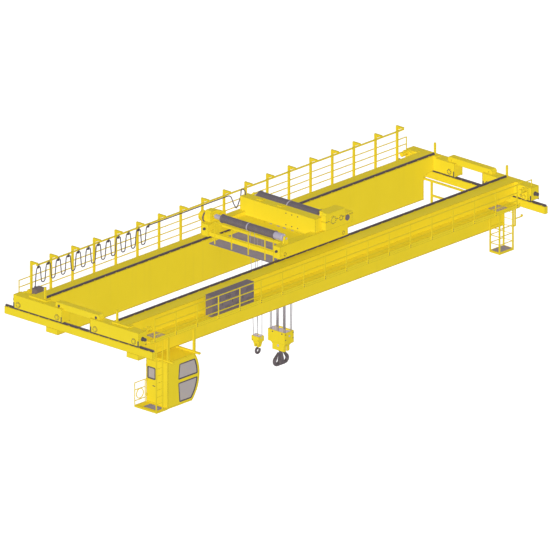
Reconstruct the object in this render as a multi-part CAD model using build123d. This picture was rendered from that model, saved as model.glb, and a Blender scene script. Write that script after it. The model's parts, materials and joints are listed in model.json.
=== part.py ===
from build123d import *
import os
from math import cos, pi, radians, sin, sqrt, tan

# An overhead crane with two box girders and a hoist trolley, on two short lengths of runway.
# X runs along the span, Y across it and Z up. All sizes are in millimetres.
# While the pieces are made, x and y are 0 at the middle of the crane, and z is 0 at the top of the
# trolley rails. At the end everything is moved so that the origin lies under one runway seat.

# Clearances
fit_gap = 0.3
swing_gap = 6
free_edge_gap = 10

# Span and runway
span = 25500
runway_length = 8860
runway_width = 180
runway_depth = 340
runway_wall = 12
runway_rail_height = 80
runway_rail_head = 70
runway_rail_foot = 120
seat_length = 560
seat_width = 690
seat_height = 235
seat_plate = 30
seat_plate_lip = 15
seat_offset = 20
near_seat_y = -3250
far_seat_y = 1580

# Girders
trolley_gauge = 4310
trolley_rail_height = 80
trolley_rail_head = 60
trolley_rail_foot = 100
girder_depth = 1900
girder_width = 615
web_offset = 55
flange_thickness = 20
bottom_flange_thickness = 16
web_thickness = 10
inner_flange_lip = 10
outer_flange_lip = 130
bottom_flange_lip = 20
girder_end_depth = 680
girder_end_rise = 120
girder_notch = 880
flange_lap = 300
end_stop_height = 530
end_stop_size = 80
rail_setback = 130

# End carriages, wheels and tie beams
carriage_width = 500
carriage_length = 2900
carriage_height = 610
carriage_wall = 12
carriage_inner_y = 850
saddle_height = 80
saddle_inner_y = 1950
saddle_outer_y = 3000
end_plate_thickness = 20
end_plate_lip = 15
bridge_wheel_radius = 250
bridge_wheel_flange = 20
bridge_wheel_inset = 290
axle_rise = 175
axle_radius = 45
flange_width = 20
tread_play = 10
cover_radius = 130
cover_thickness = 30
axle_seat = 20
tie_beam_half_width = 150
tie_beam_reach = 480
tie_beam_top = 50
tie_beam_bottom = -250
tie_beam_plate = 20
tie_pin_radius = 35
tie_pin_reach = 260
tie_pin_z = -110
lug_length = 260
buffer_radius = 80
buffer_length = 180
buffer_base_radius = 100
buffer_base = 20
buffer_drop = 320
sweep_plate = 12
sweep_arm = 60
sweep_foot = 190
sweep_height = 290
drive_depth = 140
drive_motor_radius = 95
drive_motor_length = 360

# Walkways and railings
near_floor_z = -900
near_floor_width = 840
near_floor_setback = 750
far_floor_z = -740
far_floor_width = 1070
far_floor_setback = 410
floor_plate = 8
kick_plate = 8
kick_above = 100
kick_below = 100
bracket_plate = 12
bracket_root = 350
bracket_tip = 100
post_count = 18
near_post_setback = 977.5
near_post_size = 40
near_post_foot = 70
handrail_height = 1100
handrail_size = 35
near_rail_pitch = 367
near_rail_setback = 10
far_rail_pitch = 320
far_rail_setback = 150
hatch_length = 660
hatch_width = 600
hatch_y = -3100
left_hatch_setback = 1580
right_hatch_setback = 1690
hatch_lip = 30

# Festoon line
festoon_first_setback = 895
festoon_second_setback = 2165
festoon_last_setback = 839
festoon_post_size = 90
festoon_top = 1070
festoon_arm = 410
festoon_arm_depth = 70
festoon_gusset = 260
festoon_rail_size = 60
cable_diameter = 48
cable_saddle_setback = 960
cable_box_offset = 195
cable_first_bend = 110
cable_loop_pitch = 650
cable_loops = 11

# Electrical boxes
cabinet_length = 2690
cabinet_depth = 410
cabinet_height = 960
cabinet_setback = 4930
cabinet_y = -3400
cabinet_wall = 5
terminal_box_setback = 600
terminal_box_length = 450
terminal_box_y = 3120
terminal_box_width = 300
terminal_box_height = 680

# Operator's cab
cab_setback = 1900
cab_near_y = -3500
cab_far_y = -2220
cab_roof_top = -2170
cab_bottom = -4370
cab_roof_length = 1750
cab_bulge_length = 2080
cab_front_bulge_z = -3200
cab_foot_length = 1590
cab_floor_plate = 60
cab_roof_plate = 60
cab_roof_lip = 50
cab_wall = 40
cab_rear_wall_thickness = 50
cab_front_frame = 50
glass_thickness = 8
window_rear_inset = 720
window_slant = 70
window_top_z = -2465
window_middle_top_z = -3155
window_middle_bottom_z = -3340
window_foot_z = -4220
window_margin = 95
pane_inset = 16
door_far_y = -2240
door_width = 600
door_head_z = -2290
door_sill_z = -4256
door_thickness = 40
door_window_top_z = -2630
door_window_foot_z = -3160
door_window_margin = 70
hinge_radius = 14
hinge_length = 120
strap_length = 66
handle_z = -3460
hanger_size = 100
hanger_rear_inset = 40
hanger_front_inset = 1730
hanger_far_y = -2300
cab_beam_height = 80
cab_beam_reach = 300
platform_length = 710
platform_near_y = -3500
platform_far_y = -2160
platform_top = -4300
platform_depth = 90
platform_edge = 40
grating_thickness = 30
platform_rail_height = 1050
platform_rail_size = 30
ladder_width = 430
ladder_y = -3500
rung_pitch = 330
rung_radius = 12

# Service basket, collector arm and the frame at the right end
basket_setback = 1150
basket_length = 930
basket_width = 617
basket_floor_z = -2790
basket_post = 60
basket_bar = 30
basket_bar_pitch = 367
collector_post_setback = 1070
collector_post_foot = -1800
collector_arm_z = -1440
collector_arm_length = 440
end_frame_bar = 80
end_frame_z = -980
end_frame_post_y = 1660
end_frame_foot = -2300
end_frame_lower_z = -1650
end_frame_lap = 200

# Trolley
trolley_left = -2290
trolley_right = 2120
side_beam_width = 390
side_beam_bottom = 80
side_beam_height = 570
side_beam_wall = 12
trolley_wheel_radius = 250
trolley_wheel_flange = 20
trolley_wheel_left = -1980
trolley_wheel_right = 1810
trolley_axle_radius = 35
trolley_cover_radius = 90
trolley_cover = 25
axle_reach = 15
end_beam_width = 120
end_beam_height = 200
end_beam_bottom = 100
end_beam_inset = 90
cross_beam_x = (100, 585)
cross_beam_half = 2250
cross_beam_top = 1300
cross_beam_wall = 10
cross_beam_saddle = (300, 250, 60)
deck_top = 470
deck_plate = 10
deck_web = 150
deck_left = -1400
deck_slot_left = 0
deck_slot_y = (-1800, 730)
rope_beam = (120, 100)
rear_deck = (1480, 1900)
rope_slot = (-1650, -900)
rope_slot_half = 320
trolley_buffer_radius = 60
trolley_buffer_length = 80
trolley_buffer_z = 420
service_top = -200
service_plate = 50
service_left = -2250
service_right = -200
service_half = 1930
service_hanger = 50
service_rail_height = 1050
service_rail_size = 30
service_post_size = 40
service_post_pitch = 1000
service_first_post = 1620

# Hoists
main_drum_x = 920
main_drum_z = 1130
main_drum_radius = 270
main_drum_half = 1820
main_drum_shaft = 70
main_drum_hub = 140
main_drum_hub_half = 1880
aux_drum_x = -1760
aux_drum_z = 900
aux_drum_radius = 180
aux_drum_half = 1580
aux_drum_hub = 165
aux_drum_hub_ends = (-2080, 2000)
aux_drum_shaft = 50
drum_wall = 25
drum_rim = 25
drum_rim_width = 30
pedestal_width = 120
pedestal_foot = 30
gearbox_left = 480
gearbox_right = 2180
gearbox_bottom = 720
gearbox_top = 1500
gearbox_low_top = 1220
gearbox_shoulder = 1680
gearbox_slope = 80
gearbox_outer_y = -2550
gearbox_inner_y = -2000
gearbox_step_x = 650
gearbox_step_y = -2270
aux_gearbox_left = -2000
aux_gearbox_right = -1000
aux_gearbox_top = 1150
aux_gearbox_low_top = 900
aux_gearbox_shoulder = -1600
aux_gearbox_inner_y = 2080
aux_gearbox_outer_y = 2420
motor_radius = 160
motor_length = 900
main_motor_x = 1740
motor_base = 90
aux_motor_radius = 230
aux_motor_length = 330
aux_motor_inset = 150
brake_radius = 140
brake_x = 1810
brake_z = 1020

# Main hook
main_hook_x = 310
main_fall_spread = 200
main_group_y = 410
main_pair_spread = 80
main_rope_radius = 18
main_block_top = -4450
main_block_height = 560
main_block_width = 1020
main_block_depth = 580
main_block_plate = 20
main_sheave_z = -4650
main_sheave_radius = 235
sheave_lip = 6
crosshead_width = 700
crosshead_depth = 360
crosshead_height = 390
crosshead_shoulder = 140
crosshead_groove = (90, 80)
main_shank_radius = 85
main_shank_seat = 200
main_shank_shoulder = 270
horn_reach = 245
horn_radius = 165
horn_thickness = 85
horn_tip_thickness = 50
horn_sweep = 220
horn_straight = 300
main_hook_centre_z = -5870
horn_web_thickness = 110
horn_web_half_width = 150
horn_web_foot = 70

# Auxiliary hook
aux_hook_x = -1190
aux_fall_spread = 130
aux_pair_spread = 130
aux_rope_radius = 13
aux_block_top = -4340
aux_block_height = 240
aux_block_width = 450
aux_block_depth = 330
aux_block_plate = 15
aux_sheave_z = -4414
aux_sheave_radius = 145
aux_crosshead_height = 270
aux_crosshead_shoulder = 200
aux_crosshead_width = 260
aux_crosshead_depth = 200
aux_crosshead_window = (90, 150)
aux_shank_radius = 40
aux_shank_seat = 90
aux_hook_radius = 120
aux_hook_thickness = 55
aux_hook_sweep = 280
aux_hook_centre_z = -5040

# Levels and places that follow from the sizes above
girder_top = -trolley_rail_height
flange_under = girder_top - flange_thickness
girder_bottom = girder_top - girder_depth
carriage_top = flange_under - saddle_height
carriage_bottom = carriage_top - carriage_height
bridge_axle_z = carriage_bottom + axle_rise
runway_rail_top = bridge_axle_z - bridge_wheel_radius - fit_gap
runway_top = runway_rail_top - runway_rail_height
runway_bottom = runway_top - runway_depth
seat_bottom = runway_bottom - seat_height
rail_x = span / 2
carriage_x = (rail_x - carriage_width / 2, rail_x + carriage_width / 2)
carriage_outer_y = carriage_inner_y + carriage_length
inner_wheel_y = carriage_inner_y + bridge_wheel_inset
outer_wheel_y = carriage_outer_y - bridge_wheel_inset
rail_y = trolley_gauge / 2
web_inner_y = rail_y - web_offset
web_outer_y = web_inner_y + girder_width
girder_end_x = carriage_x[0] - fit_gap
girder_full_x = rail_x - girder_notch
trolley_rail_end = rail_x - rail_setback
seat_outer_x = rail_x + runway_width / 2 + seat_offset
seat_centre_x = seat_outer_x - seat_length / 2
side_beam_top = side_beam_bottom + side_beam_height
trolley_axle_z = trolley_wheel_radius + fit_gap
side_beam_y = (rail_y - side_beam_width / 2, rail_y + side_beam_width / 2)
near_floor_edge = web_outer_y + near_floor_width
far_floor_edge = web_outer_y + far_floor_width
near_floor_half = rail_x - near_floor_setback
far_floor_half = rail_x - far_floor_setback
near_rail_end = rail_x - near_rail_setback
far_rail_end = rail_x - far_rail_setback
left_hatch_x = left_hatch_setback - rail_x
right_hatch_x = rail_x - right_hatch_setback
near_post_pitch = 2 * (rail_x - near_post_setback) / (post_count - 1)
near_post_x = [(i - (post_count - 1) / 2) * near_post_pitch for i in range(post_count)]
festoon_second_x = festoon_second_setback - rail_x
festoon_pitch = (rail_x - festoon_last_setback - festoon_second_x) / (post_count - 2)
festoon_x = [festoon_first_setback - rail_x]
festoon_x += [festoon_second_x + i * festoon_pitch for i in range(post_count - 1)]
cable_saddle_x = cable_saddle_setback - rail_x
cabinet_x = cabinet_setback - rail_x
terminal_box_x = terminal_box_setback - rail_x
cab_rear_x = cab_setback - rail_x
cab_front_top_x = cab_rear_x + cab_roof_length
cab_front_bulge_x = cab_rear_x + cab_bulge_length
cab_front_foot_x = cab_rear_x + cab_foot_length
window_rear_x = cab_rear_x + window_rear_inset
hanger_rear_x = cab_rear_x + hanger_rear_inset
hanger_front_x = cab_rear_x + hanger_front_inset
basket_x = (rail_x - basket_setback - basket_length, rail_x - basket_setback)
collector_post_x = rail_x - collector_post_setback
hanger_near_y = -near_floor_edge + kick_plate + hanger_size / 2
basket_y = (-near_floor_edge + kick_plate, -near_floor_edge + kick_plate + basket_width)
basket_bar_z = [basket_floor_z + i * basket_bar_pitch for i in range(1, 4)]
festoon_post_y = far_floor_edge - kick_plate - festoon_post_size
festoon_rail_y = far_floor_edge - festoon_arm
saddle_z = festoon_top - festoon_arm_depth - festoon_rail_size - cable_diameter


def middle(pair):
    return (pair[0] + pair[1]) / 2


def block(x, y, z):
    """A box given by its two ends along each axis."""
    sizes = [abs(pair[1] - pair[0]) for pair in (x, y, z)]
    return Pos(middle(x), middle(y), middle(z)) * Box(*sizes)


def rod_x(x, y, z, radius):
    return Pos(middle(x), y, z) * Rot(0, 90, 0) * Cylinder(radius, abs(x[1] - x[0]))


def rod_y(x, y, z, radius):
    return Pos(x, middle(y), z) * Rot(90, 0, 0) * Cylinder(radius, abs(y[1] - y[0]))


def rod_z(x, y, z, radius):
    return Pos(x, y, middle(z)) * Cylinder(radius, abs(z[1] - z[0]))


def prism_x(points, x):
    """An outline of (y, z) corners, drawn out along X."""
    face = make_face(Polyline(*[(x[0], y, z) for y, z in points], close=True))
    return extrude(face, x[1] - x[0], dir=(1, 0, 0))


def prism_y(points, y):
    """An outline of (x, z) corners, drawn out along Y."""
    face = make_face(Polyline(*[(x, y[0], z) for x, z in points], close=True))
    return extrude(face, y[1] - y[0], dir=(0, 1, 0))


def turned(points, x, y, z, axis):
    """An outline of (distance along the axis, radius) corners, turned about a line along X, Y or Z."""
    face = make_face(Polyline(*points, close=True))
    solid = revolve(face, Axis.X)
    turn = {"x": Rot(0, 0, 0), "y": Rot(0, 0, 90), "z": Rot(0, -90, 0)}[axis]
    return Pos(x, y, z) * turn * solid


def fuse(shapes):
    first, *rest = shapes
    return first + rest if rest else first


def loose(shapes):
    """Several solids that don't touch, kept together as one piece."""
    return Compound(children=[solid for shape in shapes for solid in shape.solids()])


def far_and_near(shape):
    return [shape, mirror(shape, about=Plane.XZ)]


def left_and_right(shape):
    return [shape, mirror(shape, about=Plane.YZ)]


def four_corners(shape):
    return [copy for pair in far_and_near(shape) for copy in left_and_right(pair)]


def plate_box(x, y, z, wall):
    """A closed box welded from plates."""
    inside = [(pair[0] + wall, pair[1] - wall) for pair in (x, y, z)]
    return block(x, y, z) - block(*inside)


def rail_outline(centre, foot_z, height, head, foot):
    """A crane rail's section: foot, web and head."""
    foot_height, head_height, web = 0.2 * height, 0.35 * height, 0.45 * head
    half = [
        (foot / 2, foot_z),
        (foot / 2, foot_z + foot_height),
        (web / 2, foot_z + 1.4 * foot_height),
        (web / 2, foot_z + height - head_height),
        (head / 2, foot_z + height - 0.8 * head_height),
        (head / 2, foot_z + height),
    ]
    right = [(centre + across, z) for across, z in half]
    left = [(centre - across, z) for across, z in reversed(half)]
    return right + left


def runway_beam():
    x = (rail_x - runway_width / 2, rail_x + runway_width / 2)
    y = (-runway_length / 2, runway_length / 2)
    return plate_box(x, y, (runway_bottom, runway_top), runway_wall)


def runway_rails():
    outline = rail_outline(rail_x, runway_top, runway_rail_height, runway_rail_head, runway_rail_foot)
    rail = prism_y(outline, (-runway_length / 2, runway_length / 2))
    return loose(left_and_right(rail))


def runway_seat(x, y):
    half_x, half_y = seat_length / 2, seat_width / 2
    plate_top = seat_bottom + seat_plate
    body = block((x - half_x, x + half_x), (y - half_y, y + half_y), (plate_top, runway_bottom))
    wide_y = half_y + seat_plate_lip
    plate = block((x - half_x, x + half_x), (y - wide_y, y + wide_y), (seat_bottom, plate_top))
    return body + plate


def runway_seats():
    places = [(-seat_centre_x, near_seat_y), (-seat_centre_x, far_seat_y)]
    places += [(-x, -y) for x, y in places]
    return loose([runway_seat(x, y) for x, y in places])


def girder_outline(inset):
    """Half of a girder's side outline, for its webs; the raised end clears the runway."""
    top = flange_under - inset
    end_z = flange_under - girder_end_depth + inset
    root_z = end_z - girder_end_rise
    foot = girder_bottom + bottom_flange_thickness + inset
    half = [
        (girder_full_x - inset, foot),
        (girder_full_x - inset, root_z),
        (girder_end_x - inset, end_z),
        (girder_end_x - inset, top),
    ]
    return half + [(-x, z) for x, z in reversed(half)]


def girder():
    """The far girder: a box of two webs between flanges."""
    y = (web_inner_y, web_outer_y)
    inside = (y[0] + web_thickness, y[1] - web_thickness)
    webs = prism_y(girder_outline(0), y) - prism_y(girder_outline(web_thickness), inside)
    top_x = girder_end_x + flange_lap
    top_y = (y[0] - inner_flange_lip, y[1] + outer_flange_lip)
    top = block((-top_x, top_x), top_y, (flange_under, girder_top))
    foot_y = (y[0] - bottom_flange_lip, y[1] + bottom_flange_lip)
    foot_z = (girder_bottom, girder_bottom + bottom_flange_thickness)
    foot = block((-girder_full_x, girder_full_x), foot_y, foot_z)
    return fuse([webs, top, foot])


def end_stops():
    """Upright stops on the girders, beyond the ends of the trolley's rails."""
    half = end_stop_size / 2
    x = (trolley_rail_end, trolley_rail_end + end_stop_size)
    stop = block(x, (rail_y - half, rail_y + half), (girder_top, girder_top + end_stop_height))
    return loose(four_corners(stop))


def trolley_rails():
    outline = rail_outline(rail_y, girder_top, trolley_rail_height, trolley_rail_head, trolley_rail_foot)
    rail = prism_x(outline, (-trolley_rail_end, trolley_rail_end))
    return loose(far_and_near(rail))


def flanged_wheel(radius, lip, head, axle, axle_half):
    """A wheel with a flange each side of the rail, on its axle."""
    tread = head / 2 + tread_play / 2
    rim = tread + flange_width
    web = 0.35 * tread
    hub = 2 * axle
    half = [
        (axle_half, 0),
        (axle_half, axle),
        (rim + flange_width, axle),
        (rim + flange_width, hub),
        (web, hub + flange_width),
        (web, radius - 2 * lip),
        (rim, radius - lip),
        (rim, radius + lip),
        (tread, radius + lip),
        (tread, radius),
    ]
    return half + [(-along, across) for along, across in reversed(half)]


def bridge_wheels(y):
    axle_half = carriage_width / 2 + axle_seat
    outline = flanged_wheel(
        bridge_wheel_radius, bridge_wheel_flange, runway_rail_head, axle_radius, axle_half
    )
    return loose([turned(outline, x, y, bridge_axle_z, "x") for x in (-rail_x, rail_x)])


def carriage():
    """The far right end carriage: a plate box over two wheels, with the girder's saddle on top."""
    y = (carriage_inner_y, carriage_outer_y)
    z = (carriage_bottom, carriage_top)
    body = plate_box(carriage_x, y, z, carriage_wall)
    saddle_x = (carriage_x[0], carriage_x[0] + flange_lap)
    saddle = block(saddle_x, (saddle_inner_y, saddle_outer_y), (carriage_top, flange_under))
    wide_x = (carriage_x[0] - end_plate_lip, carriage_x[1] + end_plate_lip)
    plate_y = (y[0] - end_plate_thickness, y[0])
    end_plate = block(wide_x, plate_y, (z[0] - end_plate_lip, z[1]))
    pin_y = carriage_inner_y + tie_pin_reach
    lug_y = (pin_y - lug_length / 2, pin_y + lug_length / 2)
    lug_half = tie_beam_half_width - 1.5 * tie_beam_plate
    lug_top = tie_pin_z + 2.5 * tie_pin_radius
    lug = block((rail_x - lug_half, rail_x + lug_half), lug_y, (carriage_top, lug_top))
    covers = []
    cuts = [rod_x(carriage_x, pin_y, tie_pin_z, tie_pin_radius + fit_gap)]
    out_x = (carriage_x[1], carriage_x[1] + cover_thickness)
    in_x = (carriage_x[0] - cover_thickness, carriage_x[0])
    covers.append(rod_x(in_x, inner_wheel_y, bridge_axle_z, cover_radius))
    axle_x = (carriage_x[0] - axle_seat - fit_gap, carriage_x[1] + axle_seat + fit_gap)
    slot_half_x = runway_rail_head / 2 + tread_play / 2 + 2 * flange_width
    rim = bridge_wheel_radius + bridge_wheel_flange
    slot_half_y = sqrt(rim**2 - (axle_rise - carriage_wall) ** 2) + swing_gap
    for wheel_y in (inner_wheel_y, outer_wheel_y):
        covers.append(rod_x(out_x, wheel_y, bridge_axle_z, cover_radius))
        cuts.append(rod_x(axle_x, wheel_y, bridge_axle_z, axle_radius + fit_gap))
        slot_y = (wheel_y - slot_half_y, wheel_y + slot_half_y)
        slot_x = (rail_x - slot_half_x, rail_x + slot_half_x)
        cuts.append(block(slot_x, slot_y, (z[0] - 1, z[0] + carriage_wall + 1)))
    return fuse([body, saddle, end_plate, lug, *covers]) - cuts


def tie_beam():
    """The right tie beam: a cap, open below, over a lug on each carriage, with its two pins."""
    end_y = carriage_inner_y + tie_beam_reach
    over_y = carriage_inner_y - end_plate_thickness - tie_beam_plate
    over_z = carriage_top + swing_gap
    corner = (tie_beam_top - carriage_top) / 3
    half = [
        (over_y, tie_beam_bottom),
        (over_y, over_z),
        (end_y, over_z),
        (end_y, tie_beam_top - corner),
        (end_y - corner, tie_beam_top),
    ]
    inside = [
        (over_y, tie_beam_bottom - 1),
        (over_y, over_z - 1),
        (end_y - tie_beam_plate, over_z - 1),
        (end_y - tie_beam_plate, tie_beam_top - corner),
        (end_y - corner, tie_beam_top - tie_beam_plate),
    ]
    x = (rail_x - tie_beam_half_width, rail_x + tie_beam_half_width)
    cap = prism_x(half + [(-y, z) for y, z in reversed(half)], x)
    room_x = (x[0] + tie_beam_plate, x[1] - tie_beam_plate)
    room = prism_x(inside + [(-y, z) for y, z in reversed(inside)], room_x)
    pin_y = carriage_inner_y + tie_pin_reach
    pin_x = (x[0] - tie_beam_plate, x[1] + tie_beam_plate)
    pins = [rod_x(pin_x, y, tie_pin_z, tie_pin_radius) for y in (-pin_y, pin_y)]
    return fuse([cap - room, *pins])


def carriage_buffers():
    """Rubber buffers on the outer ends of the carriages."""
    z = carriage_top - buffer_drop
    end_y = carriage_outer_y
    base = rod_y(rail_x, (end_y, end_y + buffer_base), z, buffer_base_radius)
    pad = rod_y(rail_x, (end_y + buffer_base, end_y + buffer_length), z, buffer_radius)
    return loose(four_corners(base + pad))


def rail_sweeps():
    """Angle plates on both faces of each carriage that keep the rail clear ahead of the wheels."""
    foot_z = runway_rail_top + 2 * sweep_plate
    bend_z = carriage_bottom - sweep_plate
    top_z = foot_z + sweep_height
    end_y = carriage_outer_y
    angle = [
        (end_y, top_z),
        (end_y, foot_z),
        (end_y - sweep_foot, foot_z),
        (end_y - sweep_foot, bend_z),
        (end_y - sweep_arm, bend_z),
        (end_y - sweep_arm, top_z),
    ]
    pieces = []
    for x in (carriage_x[0] - sweep_plate, carriage_x[1]):
        outer = prism_x(angle, (x, x + sweep_plate))
        pieces += four_corners(outer)
    turned_angle = [(carriage_inner_y + end_y - y, z) for y, z in angle]
    for x in (carriage_x[0] - sweep_plate, carriage_x[1]):
        pieces += four_corners(prism_x(turned_angle, (x, x + sweep_plate)))
    return loose(pieces)


def travel_drive():
    """A parallel-shaft gear case on a carriage's inner face, with its motor."""
    high_y = carriage_outer_y - sweep_arm - 30
    low_y = outer_wheel_y - 285
    casing = [
        (low_y, bridge_axle_z - 100),
        (high_y - 60, bridge_axle_z - 145),
        (high_y, bridge_axle_z - 60),
        (high_y, bridge_axle_z + 440),
        (high_y - 150, bridge_axle_z + 480),
        (low_y, bridge_axle_z + 290),
    ]
    x = (carriage_x[0] - drive_depth, carriage_x[0])
    body = prism_x(casing, x)
    motor_y, motor_z = high_y - drive_motor_radius - 20, bridge_axle_z + 345
    motor = rod_x((x[0] - drive_motor_length, x[0]), motor_y, motor_z, drive_motor_radius)
    boss_x = (x[0] - 25, x[0])
    bosses = [
        rod_x(boss_x, outer_wheel_y - 145, bridge_axle_z + 215, 75),
        rod_x(boss_x, outer_wheel_y - 165, bridge_axle_z + 20, 60),
        rod_x(boss_x, outer_wheel_y, bridge_axle_z, 95),
    ]
    bore_x = (carriage_x[0] - axle_seat - fit_gap, carriage_x[0])
    bore = rod_x(bore_x, outer_wheel_y, bridge_axle_z, axle_radius + fit_gap)
    return fuse([body, motor, *bosses]) - bore


def walkway(y_sign, floor_z, edge_y, half_length, bracket_x, openings):
    """A plate floor on brackets beside a girder, with an upstand along its outer edge."""
    web = web_outer_y
    y = sorted((y_sign * web, y_sign * edge_y))
    floor = block((-half_length, half_length), y, (floor_z - floor_plate, floor_z))
    kick_y = sorted((y_sign * (edge_y - kick_plate), y_sign * edge_y))
    kick = block((-half_length, half_length), kick_y, (floor_z - kick_below, floor_z + kick_above))
    under = floor_z - floor_plate
    bracket = [
        (y_sign * web, under),
        (y_sign * (edge_y - kick_plate), under),
        (y_sign * (edge_y - kick_plate), under - bracket_tip + floor_plate),
        (y_sign * web, under - bracket_root),
    ]
    brackets = [prism_x(bracket, (x - bracket_plate / 2, x + bracket_plate / 2)) for x in bracket_x]
    result = fuse([floor, kick, *brackets])
    for x, y_middle in openings:
        hole_x = (x - hatch_length / 2 + hatch_lip, x + hatch_length / 2 - hatch_lip)
        hole_y = (y_middle - hatch_width / 2 + hatch_lip, y_middle + hatch_width / 2 - hatch_lip)
        result -= block(hole_x, hole_y, (floor_z - floor_plate - 1, floor_z + 1))
    return result


def near_walkway():
    hatches = [(left_hatch_x, hatch_y), (right_hatch_x, hatch_y)]
    return walkway(-1, near_floor_z, near_floor_edge, near_floor_half, near_post_x, hatches)


def far_walkway():
    return walkway(1, far_floor_z, far_floor_edge, far_floor_half, festoon_x, [])


def near_railing():
    """Posts outside the near walkway's edge with three rails, and an end drop on the carriage."""
    y = (-near_floor_edge - near_post_size, -near_floor_edge)
    foot = near_floor_z - near_post_foot
    top = foot + handrail_height
    half, size = near_post_size / 2, handrail_size
    rail_y_span = (middle(y) - size / 2, middle(y) + size / 2)
    pieces = [block((x - half, x + half), y, (foot, top)) for x in near_post_x]
    ends = (near_post_x[0] - half, near_post_x[-1] + half)
    for i in range(3):
        z = top - i * near_rail_pitch
        right = near_rail_end if i == 0 else ends[1]
        pieces.append(block((ends[0], right), rail_y_span, (z - size, z)))
    drop_x = (near_rail_end - size, near_rail_end)
    pieces.append(block(drop_x, rail_y_span, (carriage_top, top - size)))
    return fuse(pieces)


def far_railing():
    """Three rails outside the festoon posts, closed by an upright at each end."""
    y_low = far_floor_edge - kick_plate
    size = handrail_size
    y = (y_low, y_low + size)
    top = far_floor_z + handrail_height
    pieces = []
    for i in range(3):
        z = top - i * far_rail_pitch
        pieces.append(block((-far_rail_end, far_rail_end), y, (z - size, z)))
    low = top - 2 * far_rail_pitch - size
    upright = block((far_rail_end - size, far_rail_end), y, (low, top))
    return fuse([*pieces, *left_and_right(upright)])


def festoon_posts():
    """Tall posts on the far walkway, each with an arm and gusset for the cable rail."""
    half = festoon_post_size / 2
    post_y = (festoon_post_y, festoon_post_y + festoon_post_size)
    arm_y = (festoon_rail_y - festoon_rail_size / 2, festoon_post_y)
    arm_z = (festoon_top - festoon_arm_depth, festoon_top)
    gusset = [
        (festoon_post_y, arm_z[0]),
        (festoon_post_y, arm_z[0] - festoon_gusset / 2),
        (festoon_post_y - festoon_gusset, arm_z[0]),
    ]
    pieces = []
    for x in festoon_x:
        post = block((x - half, x + half), post_y, (far_floor_z, festoon_top))
        arm = block((x - half, x + half), arm_y, arm_z)
        web = prism_x(gusset, (x - kick_plate / 2, x + kick_plate / 2))
        pieces.append(fuse([post, arm, web]))
    return loose(pieces)


def festoon_rail():
    half = festoon_rail_size / 2
    lap = festoon_post_size / 2
    x = (festoon_x[0] - lap, festoon_x[-1] + lap)
    z = festoon_top - festoon_arm_depth
    return block(x, (festoon_rail_y - half, festoon_rail_y + half), (z - festoon_rail_size, z))


def cable_route():
    """The corners of the trailing cable's route: up from its box, down and up between the saddles,
    along the rail, then down and up to the trolley."""
    y, z = festoon_rail_y, saddle_z
    box_top = far_floor_z + terminal_box_height
    box_x, first = cable_saddle_x - cable_box_offset, cable_saddle_x - cable_first_bend
    points = [(box_x, y, box_top), (box_x, y, box_top + 100), (first, y, z)]
    shape = [(110, 0), (148, -170), (185, -560), (220, -800)]
    shape += [(cable_loop_pitch - along, down) for along, down in reversed(shape)]
    for i in range(cable_loops):
        x = cable_saddle_x + i * cable_loop_pitch
        points += [(x + along, y, z + down) for along, down in shape]
    points += [(710, y, z), (720, 3245, 578), (620, 3030, 470), (480, 2830, 450), (390, 2640, 700)]
    points += [(345, 2420, 1200), (345, 2420, 1520), (345, 2150, 1520), (345, 2150, cross_beam_top)]
    return points


def bend_radii(points):
    """The largest bend at each corner that the runs beside it allow."""
    radii = []
    for before, at, after in zip(points, points[1:], points[2:]):
        run_in, run_out = Vector(*at) - Vector(*before), Vector(*after) - Vector(*at)
        turn = radians(run_in.get_angle(run_out))
        radii.append(0.45 * min(run_in.length, run_out.length) / tan(turn / 2))
    return radii


def festoon_cable():
    points = cable_route()
    radii = bend_radii(points)
    path = FilletPolyline(*points, radius=radii)
    section = Plane(origin=path @ 0, z_dir=path % 0) * RegularPolygon(cable_diameter / 2, 6)
    tube = sweep(section, path=path)
    print("cable length", round(path.length), "tightest bend", round(min(radii)))
    return tube


def electric_cabinet():
    x = (cabinet_x, cabinet_x + cabinet_length)
    y = (cabinet_y, cabinet_y + cabinet_depth)
    return plate_box(x, y, (near_floor_z, near_floor_z + cabinet_height), cabinet_wall)


def terminal_box():
    x = (terminal_box_x, terminal_box_x + terminal_box_length)
    y = (terminal_box_y, terminal_box_y + terminal_box_width)
    return plate_box(x, y, (far_floor_z, far_floor_z + terminal_box_height), cabinet_wall)


def front_circle():
    """Centre and radius of the curve of the cab's front, through its top, bulge and foot."""
    ax, az = cab_front_top_x, cab_roof_top
    bx, bz = cab_front_bulge_x, cab_front_bulge_z
    cx, cz = cab_front_foot_x, cab_bottom
    d = 2 * (ax * (bz - cz) + bx * (cz - az) + cx * (az - bz))
    a2, b2, c2 = ax**2 + az**2, bx**2 + bz**2, cx**2 + cz**2
    x = (a2 * (bz - cz) + b2 * (cz - az) + c2 * (az - bz)) / d
    z = (a2 * (cx - bx) + b2 * (ax - cx) + c2 * (bx - ax)) / d
    return x, z, sqrt((ax - x) ** 2 + (az - z) ** 2)


front_x, front_z, front_radius = front_circle()


def front_at(z, inset):
    """Where the cab's front lies at a height, moved in by an inset."""
    return front_x + sqrt((front_radius - inset) ** 2 - (z - front_z) ** 2)


def front_curve(inset, z, y):
    levels = (z[0], middle(z), z[1])
    return ThreePointArc(*[(front_at(level, inset), y, level) for level in levels])


def cab_slice(inset, z, y, rear):
    """The cab's side outline between two heights, with its curved front, drawn out along Y.
    The rear edge runs straight between two places, at the foot and at the top."""
    curve = front_curve(inset, z, y[0])
    low, high = curve @ 0, curve @ 1
    back = Polyline(high, (rear[1], y[0], z[1]), (rear[0], y[0], z[0]), low)
    return extrude(make_face([curve, back]), y[1] - y[0], dir=(0, 1, 0))


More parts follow.
